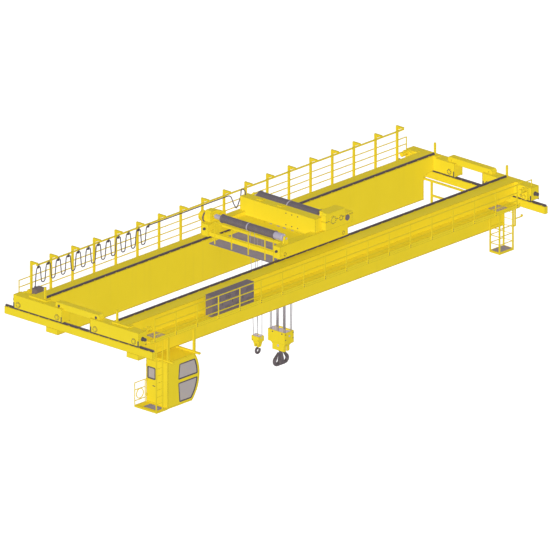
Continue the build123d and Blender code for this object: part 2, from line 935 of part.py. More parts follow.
def front_band(inset, thickness, z, y):
    """A curved sheet that follows the cab's front."""
    outer, inner = front_curve(inset, z, y[0]), front_curve(inset + thickness, z, y[0])
    low, high = Line(outer @ 0, inner @ 0), Line(outer @ 1, inner @ 1)
    return extrude(make_face([outer, high, inner, low]), y[1] - y[0], dir=(0, 1, 0))


cab_wall_z = (cab_bottom + cab_floor_plate, cab_roof_top - cab_roof_plate)
upper_window_z = (window_middle_top_z, window_top_z)
lower_window_z = (window_foot_z, window_middle_bottom_z)
wide_rear_x, narrow_rear_x = window_rear_x, window_rear_x + window_slant
side_windows = [
    (upper_window_z, (wide_rear_x, narrow_rear_x)),
    (lower_window_z, (narrow_rear_x, wide_rear_x)),
]


def side_window(z, rear, y, grow):
    """A window in the cab's side that follows the curved front; grow makes it larger all round."""
    outline_z = (z[0] - grow, z[1] + grow)
    inset = cab_front_frame + window_margin - grow
    return cab_slice(inset, outline_z, y, [x - grow for x in rear])


def cab_floor():
    y = (cab_near_y, cab_far_y)
    return cab_slice(0, (cab_bottom, cab_wall_z[0]), y, (cab_rear_x, cab_rear_x))


def cab_roof():
    """The roof plate oversails the walls, and its hangers stand on two beams across it."""
    x = (cab_rear_x - cab_roof_lip, cab_front_top_x + 2 * cab_roof_lip)
    y = (cab_near_y - cab_roof_lip, cab_far_y + cab_roof_lip)
    plate = block(x, y, (cab_wall_z[1], cab_roof_top))
    half = hanger_size / 2
    beam_y = (hanger_near_y - half - cab_beam_reach, hanger_far_y + half)
    beam_z = (cab_roof_top, cab_roof_top + cab_beam_height)
    beams = [block((at - half, at + half), beam_y, beam_z) for at in (hanger_rear_x, hanger_front_x)]
    return fuse([plate, *beams])


def cab_rear_wall():
    x = (cab_rear_x, cab_rear_x + cab_rear_wall_thickness)
    wall = block(x, (cab_near_y, cab_far_y), cab_wall_z)
    door_y = (door_far_y - door_width, door_far_y)
    return wall - block((x[0] - 1, x[1] + 1), door_y, (door_sill_z, door_head_z))


def cab_side_walls():
    rear_x = cab_rear_x + cab_rear_wall_thickness
    walls = []
    for y in ((cab_near_y, cab_near_y + cab_wall), (cab_far_y - cab_wall, cab_far_y)):
        wall = cab_slice(cab_front_frame, cab_wall_z, y, (rear_x, rear_x))
        wide_y = (y[0] - 1, y[1] + 1)
        cuts = [side_window(z, rear, wide_y, 0) for z, rear in side_windows]
        walls.append(wall - cuts)
    return loose(walls)


def cab_front():
    """The curved front frame, open for an upper and a lower pane."""
    frame = front_band(0, cab_front_frame, cab_wall_z, (cab_near_y, cab_far_y))
    pane_y = (cab_near_y + window_margin, cab_far_y - window_margin)
    x = (front_x, cab_front_bulge_x + 100)
    return frame - [block(x, pane_y, z) for z in (upper_window_z, lower_window_z)]


def cab_glass():
    """The panes stand in their openings, clear by the fitting gap."""
    panes = []
    for wall_y in (cab_near_y + pane_inset, cab_far_y - pane_inset - glass_thickness):
        y = (wall_y, wall_y + glass_thickness)
        panes += [side_window(z, rear, y, -fit_gap) for z, rear in side_windows]
    pane_y = (cab_near_y + window_margin + fit_gap, cab_far_y - window_margin - fit_gap)
    for z in (upper_window_z, lower_window_z):
        pane_z = (z[0] + fit_gap, z[1] - fit_gap)
        panes.append(front_band(pane_inset, glass_thickness, pane_z, pane_y))
    return loose(panes)


hinge_x = cab_rear_x - hinge_radius - fit_gap
hinge_y = door_far_y - swing_gap + hinge_radius
door_y = (door_far_y - door_width + free_edge_gap, door_far_y - swing_gap)
door_z = (door_sill_z + swing_gap, door_head_z - swing_gap)
door_window_y = (door_y[0] + door_window_margin, door_y[1] - door_window_margin)
door_window_z = (door_window_foot_z, door_window_top_z)


def cab_door():
    """The door leaf with its window opening, hinge leaves and handle."""
    x = (cab_rear_x, cab_rear_x + door_thickness)
    leaf = block(x, door_y, door_z) - block((x[0] - 1, x[1] + 1), door_window_y, door_window_z)
    pieces = [leaf]
    for z in (door_z[0] + 300, middle(door_z), door_z[1] - 300):
        length = (z - hinge_length / 2, z + hinge_length / 2)
        pieces.append(rod_z(hinge_x, hinge_y, length, hinge_radius))
        strap_x = (hinge_x - hinge_radius, hinge_x - hinge_radius / 2)
        strap_y = (hinge_y - strap_length, hinge_y)
        pieces.append(block(strap_x, strap_y, length))
        pieces.append(block((strap_x[1], cab_rear_x), (strap_y[0], strap_y[0] + 40), length))
    grip_y = (door_y[0] + 60, door_y[0] + 190)
    grip_x = (cab_rear_x - 40, cab_rear_x - 22)
    pieces.append(block(grip_x, grip_y, (handle_z - 12, handle_z + 12)))
    for y in (grip_y[0] + 12, grip_y[1] - 12):
        pieces.append(rod_x((cab_rear_x - 25, cab_rear_x), y, handle_z, 9))
    return fuse(pieces)


def cab_door_glass():
    x_low = cab_rear_x + pane_inset
    y = (door_window_y[0] + fit_gap, door_window_y[1] - fit_gap)
    z = (door_window_z[0] + fit_gap, door_window_z[1] - fit_gap)
    return block((x_low, x_low + glass_thickness), y, z)


def cab_hangers():
    """Four posts carry the cab: two from the walkway's edge and two from the girder."""
    half = hanger_size / 2
    foot = cab_roof_top + cab_beam_height
    posts = []
    for x in (hanger_rear_x, hanger_front_x):
        near_y = (hanger_near_y - half, hanger_near_y + half)
        far_y = (hanger_far_y - half, hanger_far_y + half)
        posts.append(block((x - half, x + half), near_y, (foot, near_floor_z - floor_plate)))
        posts.append(block((x - half, x + half), far_y, (foot, girder_bottom)))
    return loose(posts)


platform_x = (cab_rear_x - platform_length, cab_rear_x)


def open_frame(x, y, z, edge):
    """A rectangular frame of bars, open in the middle."""
    inner_x, inner_y = (x[0] + edge, x[1] - edge), (y[0] + edge, y[1] - edge)
    return block(x, y, z) - block(inner_x, inner_y, (z[0] - 1, z[1] + 1))


def cab_platform():
    """The frame of the landing outside the cab's door."""
    z = (platform_top - platform_depth, platform_top)
    return open_frame(platform_x, (platform_near_y, platform_far_y), z, platform_edge)


def platform_railing():
    """The railing on the landing's far side, with a ring below its middle bar."""
    size = platform_rail_size
    rail_y_span = (platform_far_y - size, platform_far_y)
    rail_top = platform_top + platform_rail_height
    uprights = [
        block((x, x + size), rail_y_span, (platform_top, rail_top))
        for x in (platform_x[0], platform_x[1] - size)
    ]
    heights = [rail_top - part * platform_rail_height for part in (0, 0.32, 0.8)]
    bars = [block(platform_x, rail_y_span, (level - size, level)) for level in heights]
    ring_z = platform_top + 0.44 * platform_rail_height
    ring_radius = 0.24 * platform_rail_height - size / 2
    ring = rod_y(middle(platform_x), rail_y_span, ring_z, ring_radius)
    ring -= rod_y(middle(platform_x), rail_y_span, ring_z, ring_radius - size)
    return fuse([*uprights, *bars, ring])


def cab_ladder():
    """The ladder from the landing up to the hatch in the near walkway."""
    size = platform_rail_size
    x = (platform_x[0], platform_x[0] + ladder_width)
    y = (ladder_y, ladder_y + 2 * size)
    top = near_floor_z - floor_plate
    stiles = [block((low, low + size), y, (platform_top, top)) for low in (x[0], x[1] - size)]
    count = int((top - platform_top) // rung_pitch)
    rungs = [rod_x(x, middle(y), platform_top + i * rung_pitch, rung_radius) for i in range(1, count + 1)]
    return fuse([*stiles, *rungs])


def gratings():
    """The open-grid sheets: two hatches, the cab's landing and the basket's floor."""
    sheets = []
    half_x, half_y = hatch_length / 2, hatch_width / 2
    for x in (left_hatch_x, right_hatch_x):
        hatch_z = (near_floor_z, near_floor_z + floor_plate)
        sheets.append(block((x - half_x, x + half_x), (hatch_y - half_y, hatch_y + half_y), hatch_z))
    edge = platform_edge + fit_gap
    landing_x = (platform_x[0] + edge, platform_x[1] - edge)
    landing_y = (platform_near_y + edge, platform_far_y - edge)
    sheets.append(block(landing_x, landing_y, (platform_top - grating_thickness, platform_top)))
    edge = basket_post + fit_gap
    floor_x = (basket_x[0] + edge, basket_x[1] - edge)
    floor_y = (basket_y[0] + edge, basket_y[1] - edge)
    sheets.append(block(floor_x, floor_y, (basket_floor_z - grating_thickness, basket_floor_z)))
    return loose(sheets)


def basket_sides():
    """The basket's two end frames: a guard of three bars, and a ladder with rungs."""
    size, bar = basket_post, basket_bar
    top = near_floor_z - floor_plate
    foot = basket_floor_z - platform_depth
    near, far = basket_y
    sides = []
    for x in (basket_x[0], basket_x[1] - size):
        posts = [block((x, x + size), (y, y + size), (foot, top)) for y in (near, far - size)]
        sill = block((x, x + size), basket_y, (foot, basket_floor_z))
        middle_x = x + size / 2
        if x == basket_x[0]:
            bar_x = (middle_x - bar / 2, middle_x + bar / 2)
            steps = [block(bar_x, basket_y, (z - bar, z)) for z in basket_bar_z]
        else:
            count = int((top - basket_floor_z) // rung_pitch)
            rung_z = [basket_floor_z + i * rung_pitch for i in range(1, count + 1)]
            steps = [rod_y(middle_x, basket_y, z, rung_radius) for z in rung_z]
        sides.append(fuse([*posts, sill, *steps]))
    return loose(sides)


def basket_rails():
    """The bars along the basket's near and far sides, with the sills under its floor."""
    size, bar = basket_post, basket_bar
    x = (basket_x[0] + size, basket_x[1] - size)
    rails = []
    for y in (basket_y[0], basket_y[1] - size):
        bar_y = (y + size / 2 - bar / 2, y + size / 2 + bar / 2)
        rails += [block(x, bar_y, (z - bar, z)) for z in basket_bar_z]
        rails.append(block(x, (y, y + size), (basket_floor_z - platform_depth, basket_floor_z)))
    return loose(rails)


def collector_arm():
    """The current collector's hanging post and its arm towards the runway."""
    size = basket_post
    x = (collector_post_x, collector_post_x + size)
    y = (basket_y[0], basket_y[0] + size)
    post = block(x, y, (collector_post_foot, near_floor_z - floor_plate))
    arm_x = (x[1], x[1] + collector_arm_length)
    arm = block(arm_x, (y[0] + 10, y[1] - 10), (collector_arm_z - 40, collector_arm_z))
    head_x = (x[1] + collector_arm_length - 60, x[1] + collector_arm_length)
    head = block(head_x, (y[0] - 20, y[1] + 20), (collector_arm_z, collector_arm_z + 60))
    brace_z = (collector_post_foot, collector_post_foot + size)
    brace = block((basket_x[1], x[0]), y, brace_z)
    return fuse([post, arm, head, brace])


def end_frame():
    """The frame that hangs between the girders at their right end."""
    size = end_frame_bar
    x = (girder_full_x, girder_full_x + size)
    half = web_inner_y + end_frame_lap
    top = block(x, (-half, half), (end_frame_z - size, end_frame_z))
    posts = []
    for y in (-end_frame_post_y, end_frame_post_y):
        posts.append(block(x, (y - size / 2, y + size / 2), (end_frame_foot, end_frame_z - size)))
    lower_z = (end_frame_lower_z - size, end_frame_lower_z)
    lower = block(x, (-end_frame_post_y, end_frame_post_y), lower_z)
    return fuse([top, *posts, lower])


def side_beams():
    """The trolley's two long beams, each over two wheels, with buffers at their ends."""
    x = (trolley_left, trolley_right)
    z = (side_beam_bottom, side_beam_top)
    body = plate_box(x, side_beam_y, z, side_beam_wall)
    covers, cuts = [], []
    slot_half_y = trolley_rail_head / 2 + tread_play / 2 + 2 * flange_width
    rim = trolley_wheel_radius + trolley_wheel_flange
    slot_half_x = sqrt(rim**2 - (trolley_axle_z - side_beam_bottom - side_beam_wall) ** 2) + swing_gap
    out_y = (side_beam_y[1], side_beam_y[1] + trolley_cover)
    in_y = (side_beam_y[0] - trolley_cover, side_beam_y[0])
    axle_y = (side_beam_y[0] - axle_reach - fit_gap, side_beam_y[1] + axle_reach + fit_gap)
    for wheel_x in (trolley_wheel_left, trolley_wheel_right):
        for y in (out_y, in_y):
            covers.append(rod_y(wheel_x, y, trolley_axle_z, trolley_cover_radius))
        cuts.append(rod_y(wheel_x, axle_y, trolley_axle_z, trolley_axle_radius + fit_gap))
        slot_x = (wheel_x - slot_half_x, wheel_x + slot_half_x)
        slot_z = (z[0] - 1, z[0] + side_beam_wall + 1)
        cuts.append(block(slot_x, (rail_y - slot_half_y, rail_y + slot_half_y), slot_z))
    beam = fuse([body, *covers]) - cuts
    return loose(far_and_near(beam))


def trolley_wheels(x):
    outline = flanged_wheel(
        trolley_wheel_radius,
        trolley_wheel_flange,
        trolley_rail_head,
        trolley_axle_radius,
        side_beam_width / 2 + axle_reach,
    )
    return loose([turned(outline, x, y, trolley_axle_z, "y") for y in (-rail_y, rail_y)])


def trolley_buffers():
    length = trolley_buffer_length
    pads = []
    for x in ((trolley_left - length, trolley_left), (trolley_right, trolley_right + length)):
        pads.append(rod_x(x, rail_y, trolley_buffer_z, trolley_buffer_radius))
    return loose([copy for pad in pads for copy in far_and_near(pad)])


def deck(x, top, web_x):
    """A plate between the side beams, stiffened by webs under it."""
    y = (-side_beam_y[0], side_beam_y[0])
    plate = block(x, y, (top - deck_plate, top))
    webs = [block((at, at + 2 * deck_plate), y, (top - deck_web, top)) for at in web_x]
    return fuse([plate, *webs])


def trolley_frame():
    """End beams between the side beams, with a deck behind the small drum and one at the rear."""
    half = side_beam_y[0]
    front_x_span = (trolley_left + end_beam_inset, trolley_left + end_beam_inset + end_beam_width)
    rear_x_span = (trolley_right - end_beam_inset - end_beam_width, trolley_right - end_beam_inset)
    z = (end_beam_bottom, end_beam_bottom + end_beam_height)
    front, rear = (block(x, (-half, half), z) for x in (front_x_span, rear_x_span))
    cut_z = (deck_top - deck_plate - 1, deck_top + 1)
    anchor_x = aux_hook_x + aux_fall_spread
    small_slot = block((deck_left + 200, rope_slot[1]), (-rope_slot_half, rope_slot_half), cut_z)
    main_slot = block((deck_slot_left, cross_beam_x[0] + 1), deck_slot_y, cut_z)
    anchor = block(
        (anchor_x - rope_beam[0] / 2, anchor_x + rope_beam[0] / 2),
        (-rope_slot_half - rope_beam[1], rope_slot_half + rope_beam[1]),
        (deck_top, deck_top + rope_beam[1]),
    )
    web_x = (deck_left, deck_slot_left - 2 * deck_plate)
    front_deck = deck((deck_left, cross_beam_x[0]), deck_top, web_x) - [small_slot, main_slot]
    rear_web_x = (rear_deck[0], rear_deck[1] - 2 * deck_plate)
    return loose([front, rear, front_deck + anchor, deck(rear_deck, side_beam_top, rear_web_x)])


def cross_beam():
    """The deep box that carries the ropes: seated on the side beams, and down between them."""
    wall = cross_beam_wall
    outer, inner = (
        [
            (-cross_beam_half + inset, side_beam_top + inset),
            (-side_beam_y[0] + inset, side_beam_top + inset),
            (-side_beam_y[0] + inset, deck_top + inset),
            (side_beam_y[0] - inset, deck_top + inset),
            (side_beam_y[0] - inset, side_beam_top + inset),
            (cross_beam_half - inset, side_beam_top + inset),
            (cross_beam_half - inset, cross_beam_top - inset),
            (-cross_beam_half + inset, cross_beam_top - inset),
        ]
        for inset in (0, wall)
    )
    body = prism_x(outer, cross_beam_x) - prism_x(inner, (cross_beam_x[0] + wall, cross_beam_x[1] - wall))
    long, wide, high = cross_beam_saddle
    centre = middle(cross_beam_x)
    saddles = []
    for at in (0, main_group_y * 3):
        top_z = (cross_beam_top, cross_beam_top + high)
        saddles.append(block((centre - wide / 2, centre + wide / 2), (at - long / 2, at + long / 2), top_z))
    return fuse([body, *saddles])


def service_platform():
    """The grid floor that hangs in the trolley, with a slot for the small hook's ropes."""
    z = (service_top - service_plate, service_top)
    sheet = block((service_left, service_right), (-service_half, service_half), z)
    slot = block(rope_slot, (-rope_slot_half, rope_slot_half), (z[0] - 1, z[1] + 1))
    return sheet - slot


def service_railing():
    """Posts and rails along the platform's open end, and the hangers that carry the platform."""
    size, bar = service_post_size, service_rail_size
    x_face = trolley_left + end_beam_inset
    x = (x_face - size, x_face)
    top = service_top + service_rail_height
    inner = service_half - size
    places = [service_first_post - i * service_post_pitch for i in range(4)] + [-inner]
    pieces = [block(x, (y - size / 2, y + size / 2), (service_top, top)) for y in places]
    bar_x = (middle(x) - bar / 2, middle(x) + bar / 2)
    for level in (top, service_top + 0.55 * service_rail_height):
        pieces.append(block(bar_x, (-inner - size / 2, inner + size / 2), (level - bar, level)))
    return fuse(pieces)


def service_hangers():
    """Straps from the side beams' inner faces down to the hanging platform."""
    size = service_hanger
    half = side_beam_y[0]
    z = (service_top, side_beam_bottom + size)
    low_y = service_half - size
    straps = []
    for x in (service_left + 300, service_right - size):
        strap = block((x, x + size), (low_y, half), (side_beam_bottom, z[1]))
        drop = block((x, x + size), (low_y, service_half), (service_top, side_beam_bottom))
        straps += far_and_near(strap + drop)
    return loose(straps)


def drum(x, z, radius, half, hub, hub_ends, shaft, shaft_ends):
    """A hoist drum: a tube with end rims and hubs, on one long shaft along Y."""
    tube = rod_y(x, (-half, half), z, radius)
    tube -= rod_y(x, (-half + drum_wall, half - drum_wall), z, radius - drum_wall)
    rims = []
    for end in (-half, half - drum_rim_width):
        rims.append(rod_y(x, (end, end + drum_rim_width), z, radius + drum_rim))
    hubs = [rod_y(x, y, z, hub) for y in ((hub_ends[0], -half), (half, hub_ends[1]))]
    ends = [
        rod_y(x, (shaft_ends[0], hub_ends[0]), z, shaft),
        rod_y(x, (hub_ends[1], shaft_ends[1]), z, shaft),
    ]
    rims = [rim - rod_y(x, (-half - 1, half + 1), z, radius - drum_wall) for rim in rims]
    return fuse([tube, *rims, *hubs, *ends])


main_shaft_ends = (gearbox_inner_y - 40, side_beam_y[1] - 140)
aux_shaft_ends = (-side_beam_y[1] + 100, aux_gearbox_inner_y + 40)


def main_drum():
    return drum(
        main_drum_x,
        main_drum_z,
        main_drum_radius,
        main_drum_half,
        main_drum_hub,
        (-main_drum_hub_half, main_drum_hub_half),
        main_drum_shaft,
        main_shaft_ends,
    )


def aux_drum():
    return drum(
        aux_drum_x,
        aux_drum_z,
        aux_drum_radius,
        aux_drum_half,
        aux_drum_hub,
        aux_drum_hub_ends,
        aux_drum_shaft,
        aux_shaft_ends,
    )


def pedestal(x, y, z, shaft):
    """A bearing block on a side beam: a tapered stand with a round head, bored for a shaft."""
    wide, head = 3.2 * shaft, 1.9 * shaft
    stand = [(x - wide, side_beam_top), (x + wide, side_beam_top), (x + head, z), (x - head, z)]
    body = prism_y(stand, y) + rod_y(x, y, z, head)
    foot_x = (x - wide - pedestal_foot, x + wide + pedestal_foot)
    foot = block(foot_x, y, (side_beam_top, side_beam_top + pedestal_foot))
    return fuse([body, foot]) - rod_y(x, (y[0] - 1, y[1] + 1), z, shaft + fit_gap)


def drum_pedestals():
    main_y = (main_shaft_ends[1] - pedestal_width, main_shaft_ends[1] - 10)
    aux_y = (aux_shaft_ends[0] + 10, aux_shaft_ends[0] + pedestal_width)
    return loose(
        [
            pedestal(main_drum_x, main_y, main_drum_z, main_drum_shaft),
            pedestal(aux_drum_x, aux_y, aux_drum_z, aux_drum_shaft),
        ]
    )


def main_gearbox():
    """The main hoist's gear case: a tall and a low end over a split flange, bored for the shaft."""
    joint = middle((gearbox_bottom, gearbox_top))
    outline = [
        (gearbox_left, gearbox_bottom),
        (gearbox_right, gearbox_bottom),
        (gearbox_right, gearbox_low_top),
        (gearbox_shoulder + gearbox_slope, gearbox_low_top),
        (gearbox_shoulder, gearbox_top),
        (gearbox_left + gearbox_slope, gearbox_top),
        (gearbox_left, gearbox_top - gearbox_slope),
    ]
    thin = prism_y(outline, (gearbox_outer_y, gearbox_step_y))
    rear = prism_y(
        [(max(x, gearbox_step_x), z) for x, z in outline[:5]] + [(gearbox_step_x, gearbox_top)],
        (gearbox_step_y, gearbox_inner_y),
    )
    flange_z = (joint - 15, joint + 15)
    flange = block(
        (gearbox_left - 30, gearbox_right + 30), (gearbox_outer_y - 30, gearbox_step_y), flange_z
    )
    foot_y = (-side_beam_y[1], gearbox_inner_y)
    foot = block((gearbox_step_x + 50, gearbox_right - 200), foot_y, (side_beam_top, gearbox_bottom))
    bosses = []
    for x, z, r in ((main_drum_x, main_drum_z, 190), (1420, joint, 130), (brake_x, brake_z, brake_radius)):
        bosses.append(rod_y(x, (gearbox_outer_y - 40, gearbox_outer_y), z, r))
    bore_y = (main_shaft_ends[0] - fit_gap, gearbox_inner_y + 1)
    bore = rod_y(main_drum_x, bore_y, main_drum_z, main_drum_shaft + fit_gap)
    return fuse([thin, rear, flange, foot, *bosses]) - bore


def aux_gearbox():
    """The small hoist's gear case on the far side beam, bored for the small drum's shaft."""
    outline = [
        (aux_gearbox_left, side_beam_top),
        (aux_gearbox_right, side_beam_top),
        (aux_gearbox_right, aux_gearbox_low_top),
        (aux_gearbox_shoulder, aux_gearbox_top),
        (aux_gearbox_left + gearbox_slope, aux_gearbox_top),
        (aux_gearbox_left, aux_gearbox_top - gearbox_slope),
    ]
    body = prism_y(outline, (aux_gearbox_inner_y, aux_gearbox_outer_y))
    bosses = []
    for x, z, r in ((aux_drum_x, aux_drum_z, 140), (aux_drum_x + 400, aux_drum_z - 60, 90)):
        bosses.append(rod_y(x, (aux_gearbox_inner_y - 20, aux_gearbox_inner_y), z, r))
    bore_y = (aux_gearbox_inner_y - 30, aux_shaft_ends[1] + fit_gap)
    bore = rod_y(aux_drum_x, bore_y, aux_drum_z, aux_drum_shaft + fit_gap)
    return fuse([body, *bosses]) - bore


def hoist_motors():
    """The main motor along the rear deck and the small motor outside the far side beam."""
    y = (gearbox_inner_y, gearbox_inner_y + motor_length)
    z = side_beam_top + motor_base + motor_radius
    main = rod_y(main_motor_x, y, z, motor_radius)
    stand_x = (main_motor_x - motor_radius, main_motor_x + motor_radius)
    stand = block(stand_x, (y[0] + 200, y[1] - 100), (side_beam_top, z - 0.6 * motor_radius))
    aux_y = (aux_gearbox_outer_y, aux_gearbox_outer_y + aux_motor_length)
    aux = rod_y(aux_gearbox_left + aux_motor_inset, aux_y, aux_drum_z - 100, aux_motor_radius)
    return loose([main + stand, aux])


def slanted_rope(x_top, z_top, x_foot, z_foot, y, radius):
    """A straight rope that hangs in a plane across Y."""
    start, end = Vector(x_top, y, z_top), Vector(x_foot, y, z_foot)
    direction = end - start
    plane = Plane(origin=start, z_dir=direction)
    return extrude(plane * Circle(radius), direction.length)


def rope_falls(block_x, spread, groups, pair, radius, foot_z, drum_fall_x, drum_z, fixed_z, drum_groups):
    """Ropes in pairs: each group has falls both sides of its sheaves; some come off the drum."""
    ropes = []
    for group in groups:
        for y in (group - pair / 2, group + pair / 2):
            for side in (-1, 1):
                x = block_x + side * spread
                from_drum = side == drum_groups[0] and group in drum_groups[1]
                if from_drum:
                    ropes.append(slanted_rope(drum_fall_x, drum_z, x, foot_z, y, radius))
                else:
                    ropes.append(slanted_rope(x, fixed_z, x, foot_z, y, radius))
    return loose(ropes)


def main_ropes():
    fall_x = main_drum_x - main_drum_radius - main_rope_radius - fit_gap
    return rope_falls(
        main_hook_x,
        main_fall_spread,
        (-main_group_y, 0, main_group_y),
        main_pair_spread,
        main_rope_radius,
        main_sheave_z,
        fall_x,
        main_drum_z,
        deck_top,
        (1, (-main_group_y, main_group_y)),
    )


def aux_ropes():
    fall_x = aux_drum_x + aux_drum_radius + aux_rope_radius + fit_gap
    return rope_falls(
        aux_hook_x,
        aux_fall_spread,
        (0,),
        2 * aux_pair_spread,
        aux_rope_radius,
        aux_sheave_z,
        fall_x,
        aux_drum_z,
        deck_top,
        (-1, (0,)),
    )


def sheave(x, y, z, radius, spread, rope):
    """A sheave whose groove holds a rope that hangs at a given distance from its pin."""
    root, seat = spread - rope - fit_gap, rope + 1
    half = seat + 2 * sheave_lip
    profile = [
        (half, 0),
        (half, radius),
        (half - sheave_lip, radius),
        (seat, root),
    ]
    profile += [(-along, across) for along, across in reversed(profile)]
    return turned(profile, x, y, z, "y")


def sheave_set(x, y, z, radius, places, rope):
    """The sheaves of a block, on their pin."""
    pin = rod_y(x, y, z, radius / 5)
    return fuse([pin, *[sheave(x, at, z, radius, *rope) for at in places]])


def hook_block(x, top, size, plate, pin_z, pin_radius, head, shoulder):
    """A block: two face plates and two end plates, bored for the sheaves' pin, over a crosshead."""
    width, depth, height = size
    head_width, head_depth, head_height = head
    foot = top - height
    y = (-width / 2, width / 2)
    x_span = (x - depth / 2, x + depth / 2)
    inner_x = (x_span[0] + plate, x_span[1] - plate)
    inner = block(inner_x, (y[0] + plate, y[1] - plate), (foot + plate, top + 1))
    bore = rod_y(x, (y[0] - 1, y[1] + 1), pin_z, pin_radius + fit_gap)
    half = [
        (y[1] - plate, foot),
        (head_width / 2, foot - shoulder),
        (head_width / 2, foot - head_height),
    ]
    outline = half + [(-across, z) for across, z in reversed(half)]
    head_x = (x - head_depth / 2, x + head_depth / 2)
    return block(x_span, y, (foot, top)) - [inner, bore] + prism_x(outline, head_x)


def main_sheaves():
    groups = (-main_group_y, 0, main_group_y)
    places = [group + side * main_pair_spread / 2 for group in groups for side in (-1, 1)]
    y = (-main_block_width / 2, main_block_width / 2)
    rope = (main_fall_spread, main_rope_radius)
    return sheave_set(main_hook_x, y, main_sheave_z, main_sheave_radius, places, rope)


def aux_sheaves():
    places = (-aux_pair_spread, aux_pair_spread)
    y = (-aux_block_width / 2, aux_block_width / 2)
    rope = (aux_fall_spread, aux_rope_radius)
    return sheave_set(aux_hook_x, y, aux_sheave_z, aux_sheave_radius, places, rope)


main_head_foot = main_block_top - main_block_height - crosshead_height
aux_head_foot = aux_block_top - aux_block_height - aux_crosshead_height
aux_seat_foot = aux_head_foot + aux_crosshead_window[1]


def main_block():
    """The main block; a groove down each side of its crosshead shows the trunnion within."""
    body = hook_block(
        main_hook_x,
        main_block_top,
        (main_block_width, main_block_depth, main_block_height),
        main_block_plate,
        main_sheave_z,
        main_sheave_radius / 5,
        (crosshead_width, crosshead_depth, crosshead_height),
        crosshead_shoulder,
    )
    wide, deep = crosshead_groove
    x = (main_hook_x - wide / 2, main_hook_x + wide / 2)
    y = (crosshead_width / 2 - deep, crosshead_width / 2 + 1)
    groove = block(x, y, (main_head_foot - 1, main_head_foot + crosshead_height - crosshead_shoulder))
    seat_z = (main_head_foot - 1, main_head_foot + main_shank_seat + fit_gap)
    seat = rod_z(main_hook_x, 0, seat_z, main_shank_radius + fit_gap)
    return body - [seat, *far_and_near(groove)]


def aux_block():
    """The small block; the hook's shank shows in a window through its crosshead."""
    body = hook_block(
        aux_hook_x,
        aux_block_top,
        (aux_block_width, aux_block_depth, aux_block_height),
        aux_block_plate,
        aux_sheave_z,
        aux_sheave_radius / 5,
        (aux_crosshead_width, aux_crosshead_depth, aux_crosshead_height),
        aux_crosshead_shoulder,
    )
    x = (aux_hook_x - aux_crosshead_depth / 2 - 1, aux_hook_x + aux_crosshead_depth / 2 + 1)
    wide = aux_crosshead_window[0]
    window = block(x, (-wide / 2, wide / 2), (aux_head_foot - 1, aux_seat_foot))
    seat_z = (aux_seat_foot - 1, aux_seat_foot + aux_shank_seat + fit_gap)
    return body - [window, rod_z(aux_hook_x, 0, seat_z, aux_shank_radius + fit_gap)]


def hook_arc(x, z, radius, thickness, start, sweep_angle):
    """Part of a round bar bent in the XZ plane: angles run from +X towards +Z, in degrees."""
    section = Pos(radius, 0, 0) * Rot(90, 0, 0) * Circle(thickness)
    solid = revolve(section, Axis.Z, sweep_angle)
    return Pos(x, 0, z) * Rot(90, 0, 0) * Rot(0, 0, start) * solid


def horn(x, z):
    """The right horn: round under the load, then straight and tapering up towards the shank."""
    turn = radians(180 + horn_sweep)
    bend = hook_arc(x + horn_reach, z, horn_radius, horn_thickness, 180, horn_sweep)
    start = Vector(x + horn_reach + horn_radius * cos(turn), 0, z + horn_radius * sin(turn))
    direction = Vector(-sin(turn), 0, cos(turn))
    end, tip = horn_straight, horn_tip_thickness
    side = Polyline((end + tip, 0), (0, 0), (0, horn_thickness), (end, tip))
    nose = ThreePointArc((end, tip), (end + tip * cos(pi / 4), tip * sin(pi / 4)), (end + tip, 0))
    bar = revolve(make_face([side, nose]), Axis.X)
    return bend + Plane(origin=start, x_dir=direction, z_dir=(0, 1, 0)) * bar


def main_hook():
    """A ramshorn hook: two horns that curl up from the widened foot of one shank."""
    x, z = main_hook_x, main_hook_centre_z
    shank = rod_z(x, 0, (z, main_head_foot + main_shank_seat), main_shank_radius)
    right = horn(x, z)
    left = Pos(x, 0, 0) * mirror(Pos(-x, 0, 0) * right, about=Plane.YZ)
    half = [
        (horn_reach, z - horn_radius - horn_web_foot),
        (horn_reach, z - horn_radius),
        (horn_web_half_width, z - horn_web_foot),
        (horn_web_half_width, z),
        (main_shank_radius, z + main_shank_shoulder),
    ]
    outline = [(x + along, level) for along, level in half]
    outline += [(x - along, level) for along, level in reversed(half)]
    web = prism_y(outline, (-horn_web_thickness / 2, horn_web_thickness / 2))
    return fuse([shank, web, right, left])


def aux_hook():
    """A single point hook on its shank."""
    x, z = aux_hook_x, aux_hook_centre_z
    shank = rod_z(x, 0, (z + aux_hook_radius, aux_seat_foot + aux_shank_seat), aux_shank_radius)
    curve = hook_arc(x, z, aux_hook_radius, aux_hook_thickness, 90, aux_hook_sweep)
    tip_angle = radians(90 + aux_hook_sweep)
    tip = Pos(x + aux_hook_radius * cos(tip_angle), 0, z + aux_hook_radius * sin(tip_angle))
    return fuse([shank, curve, tip * Sphere(aux_hook_thickness)])


far_girder = girder()

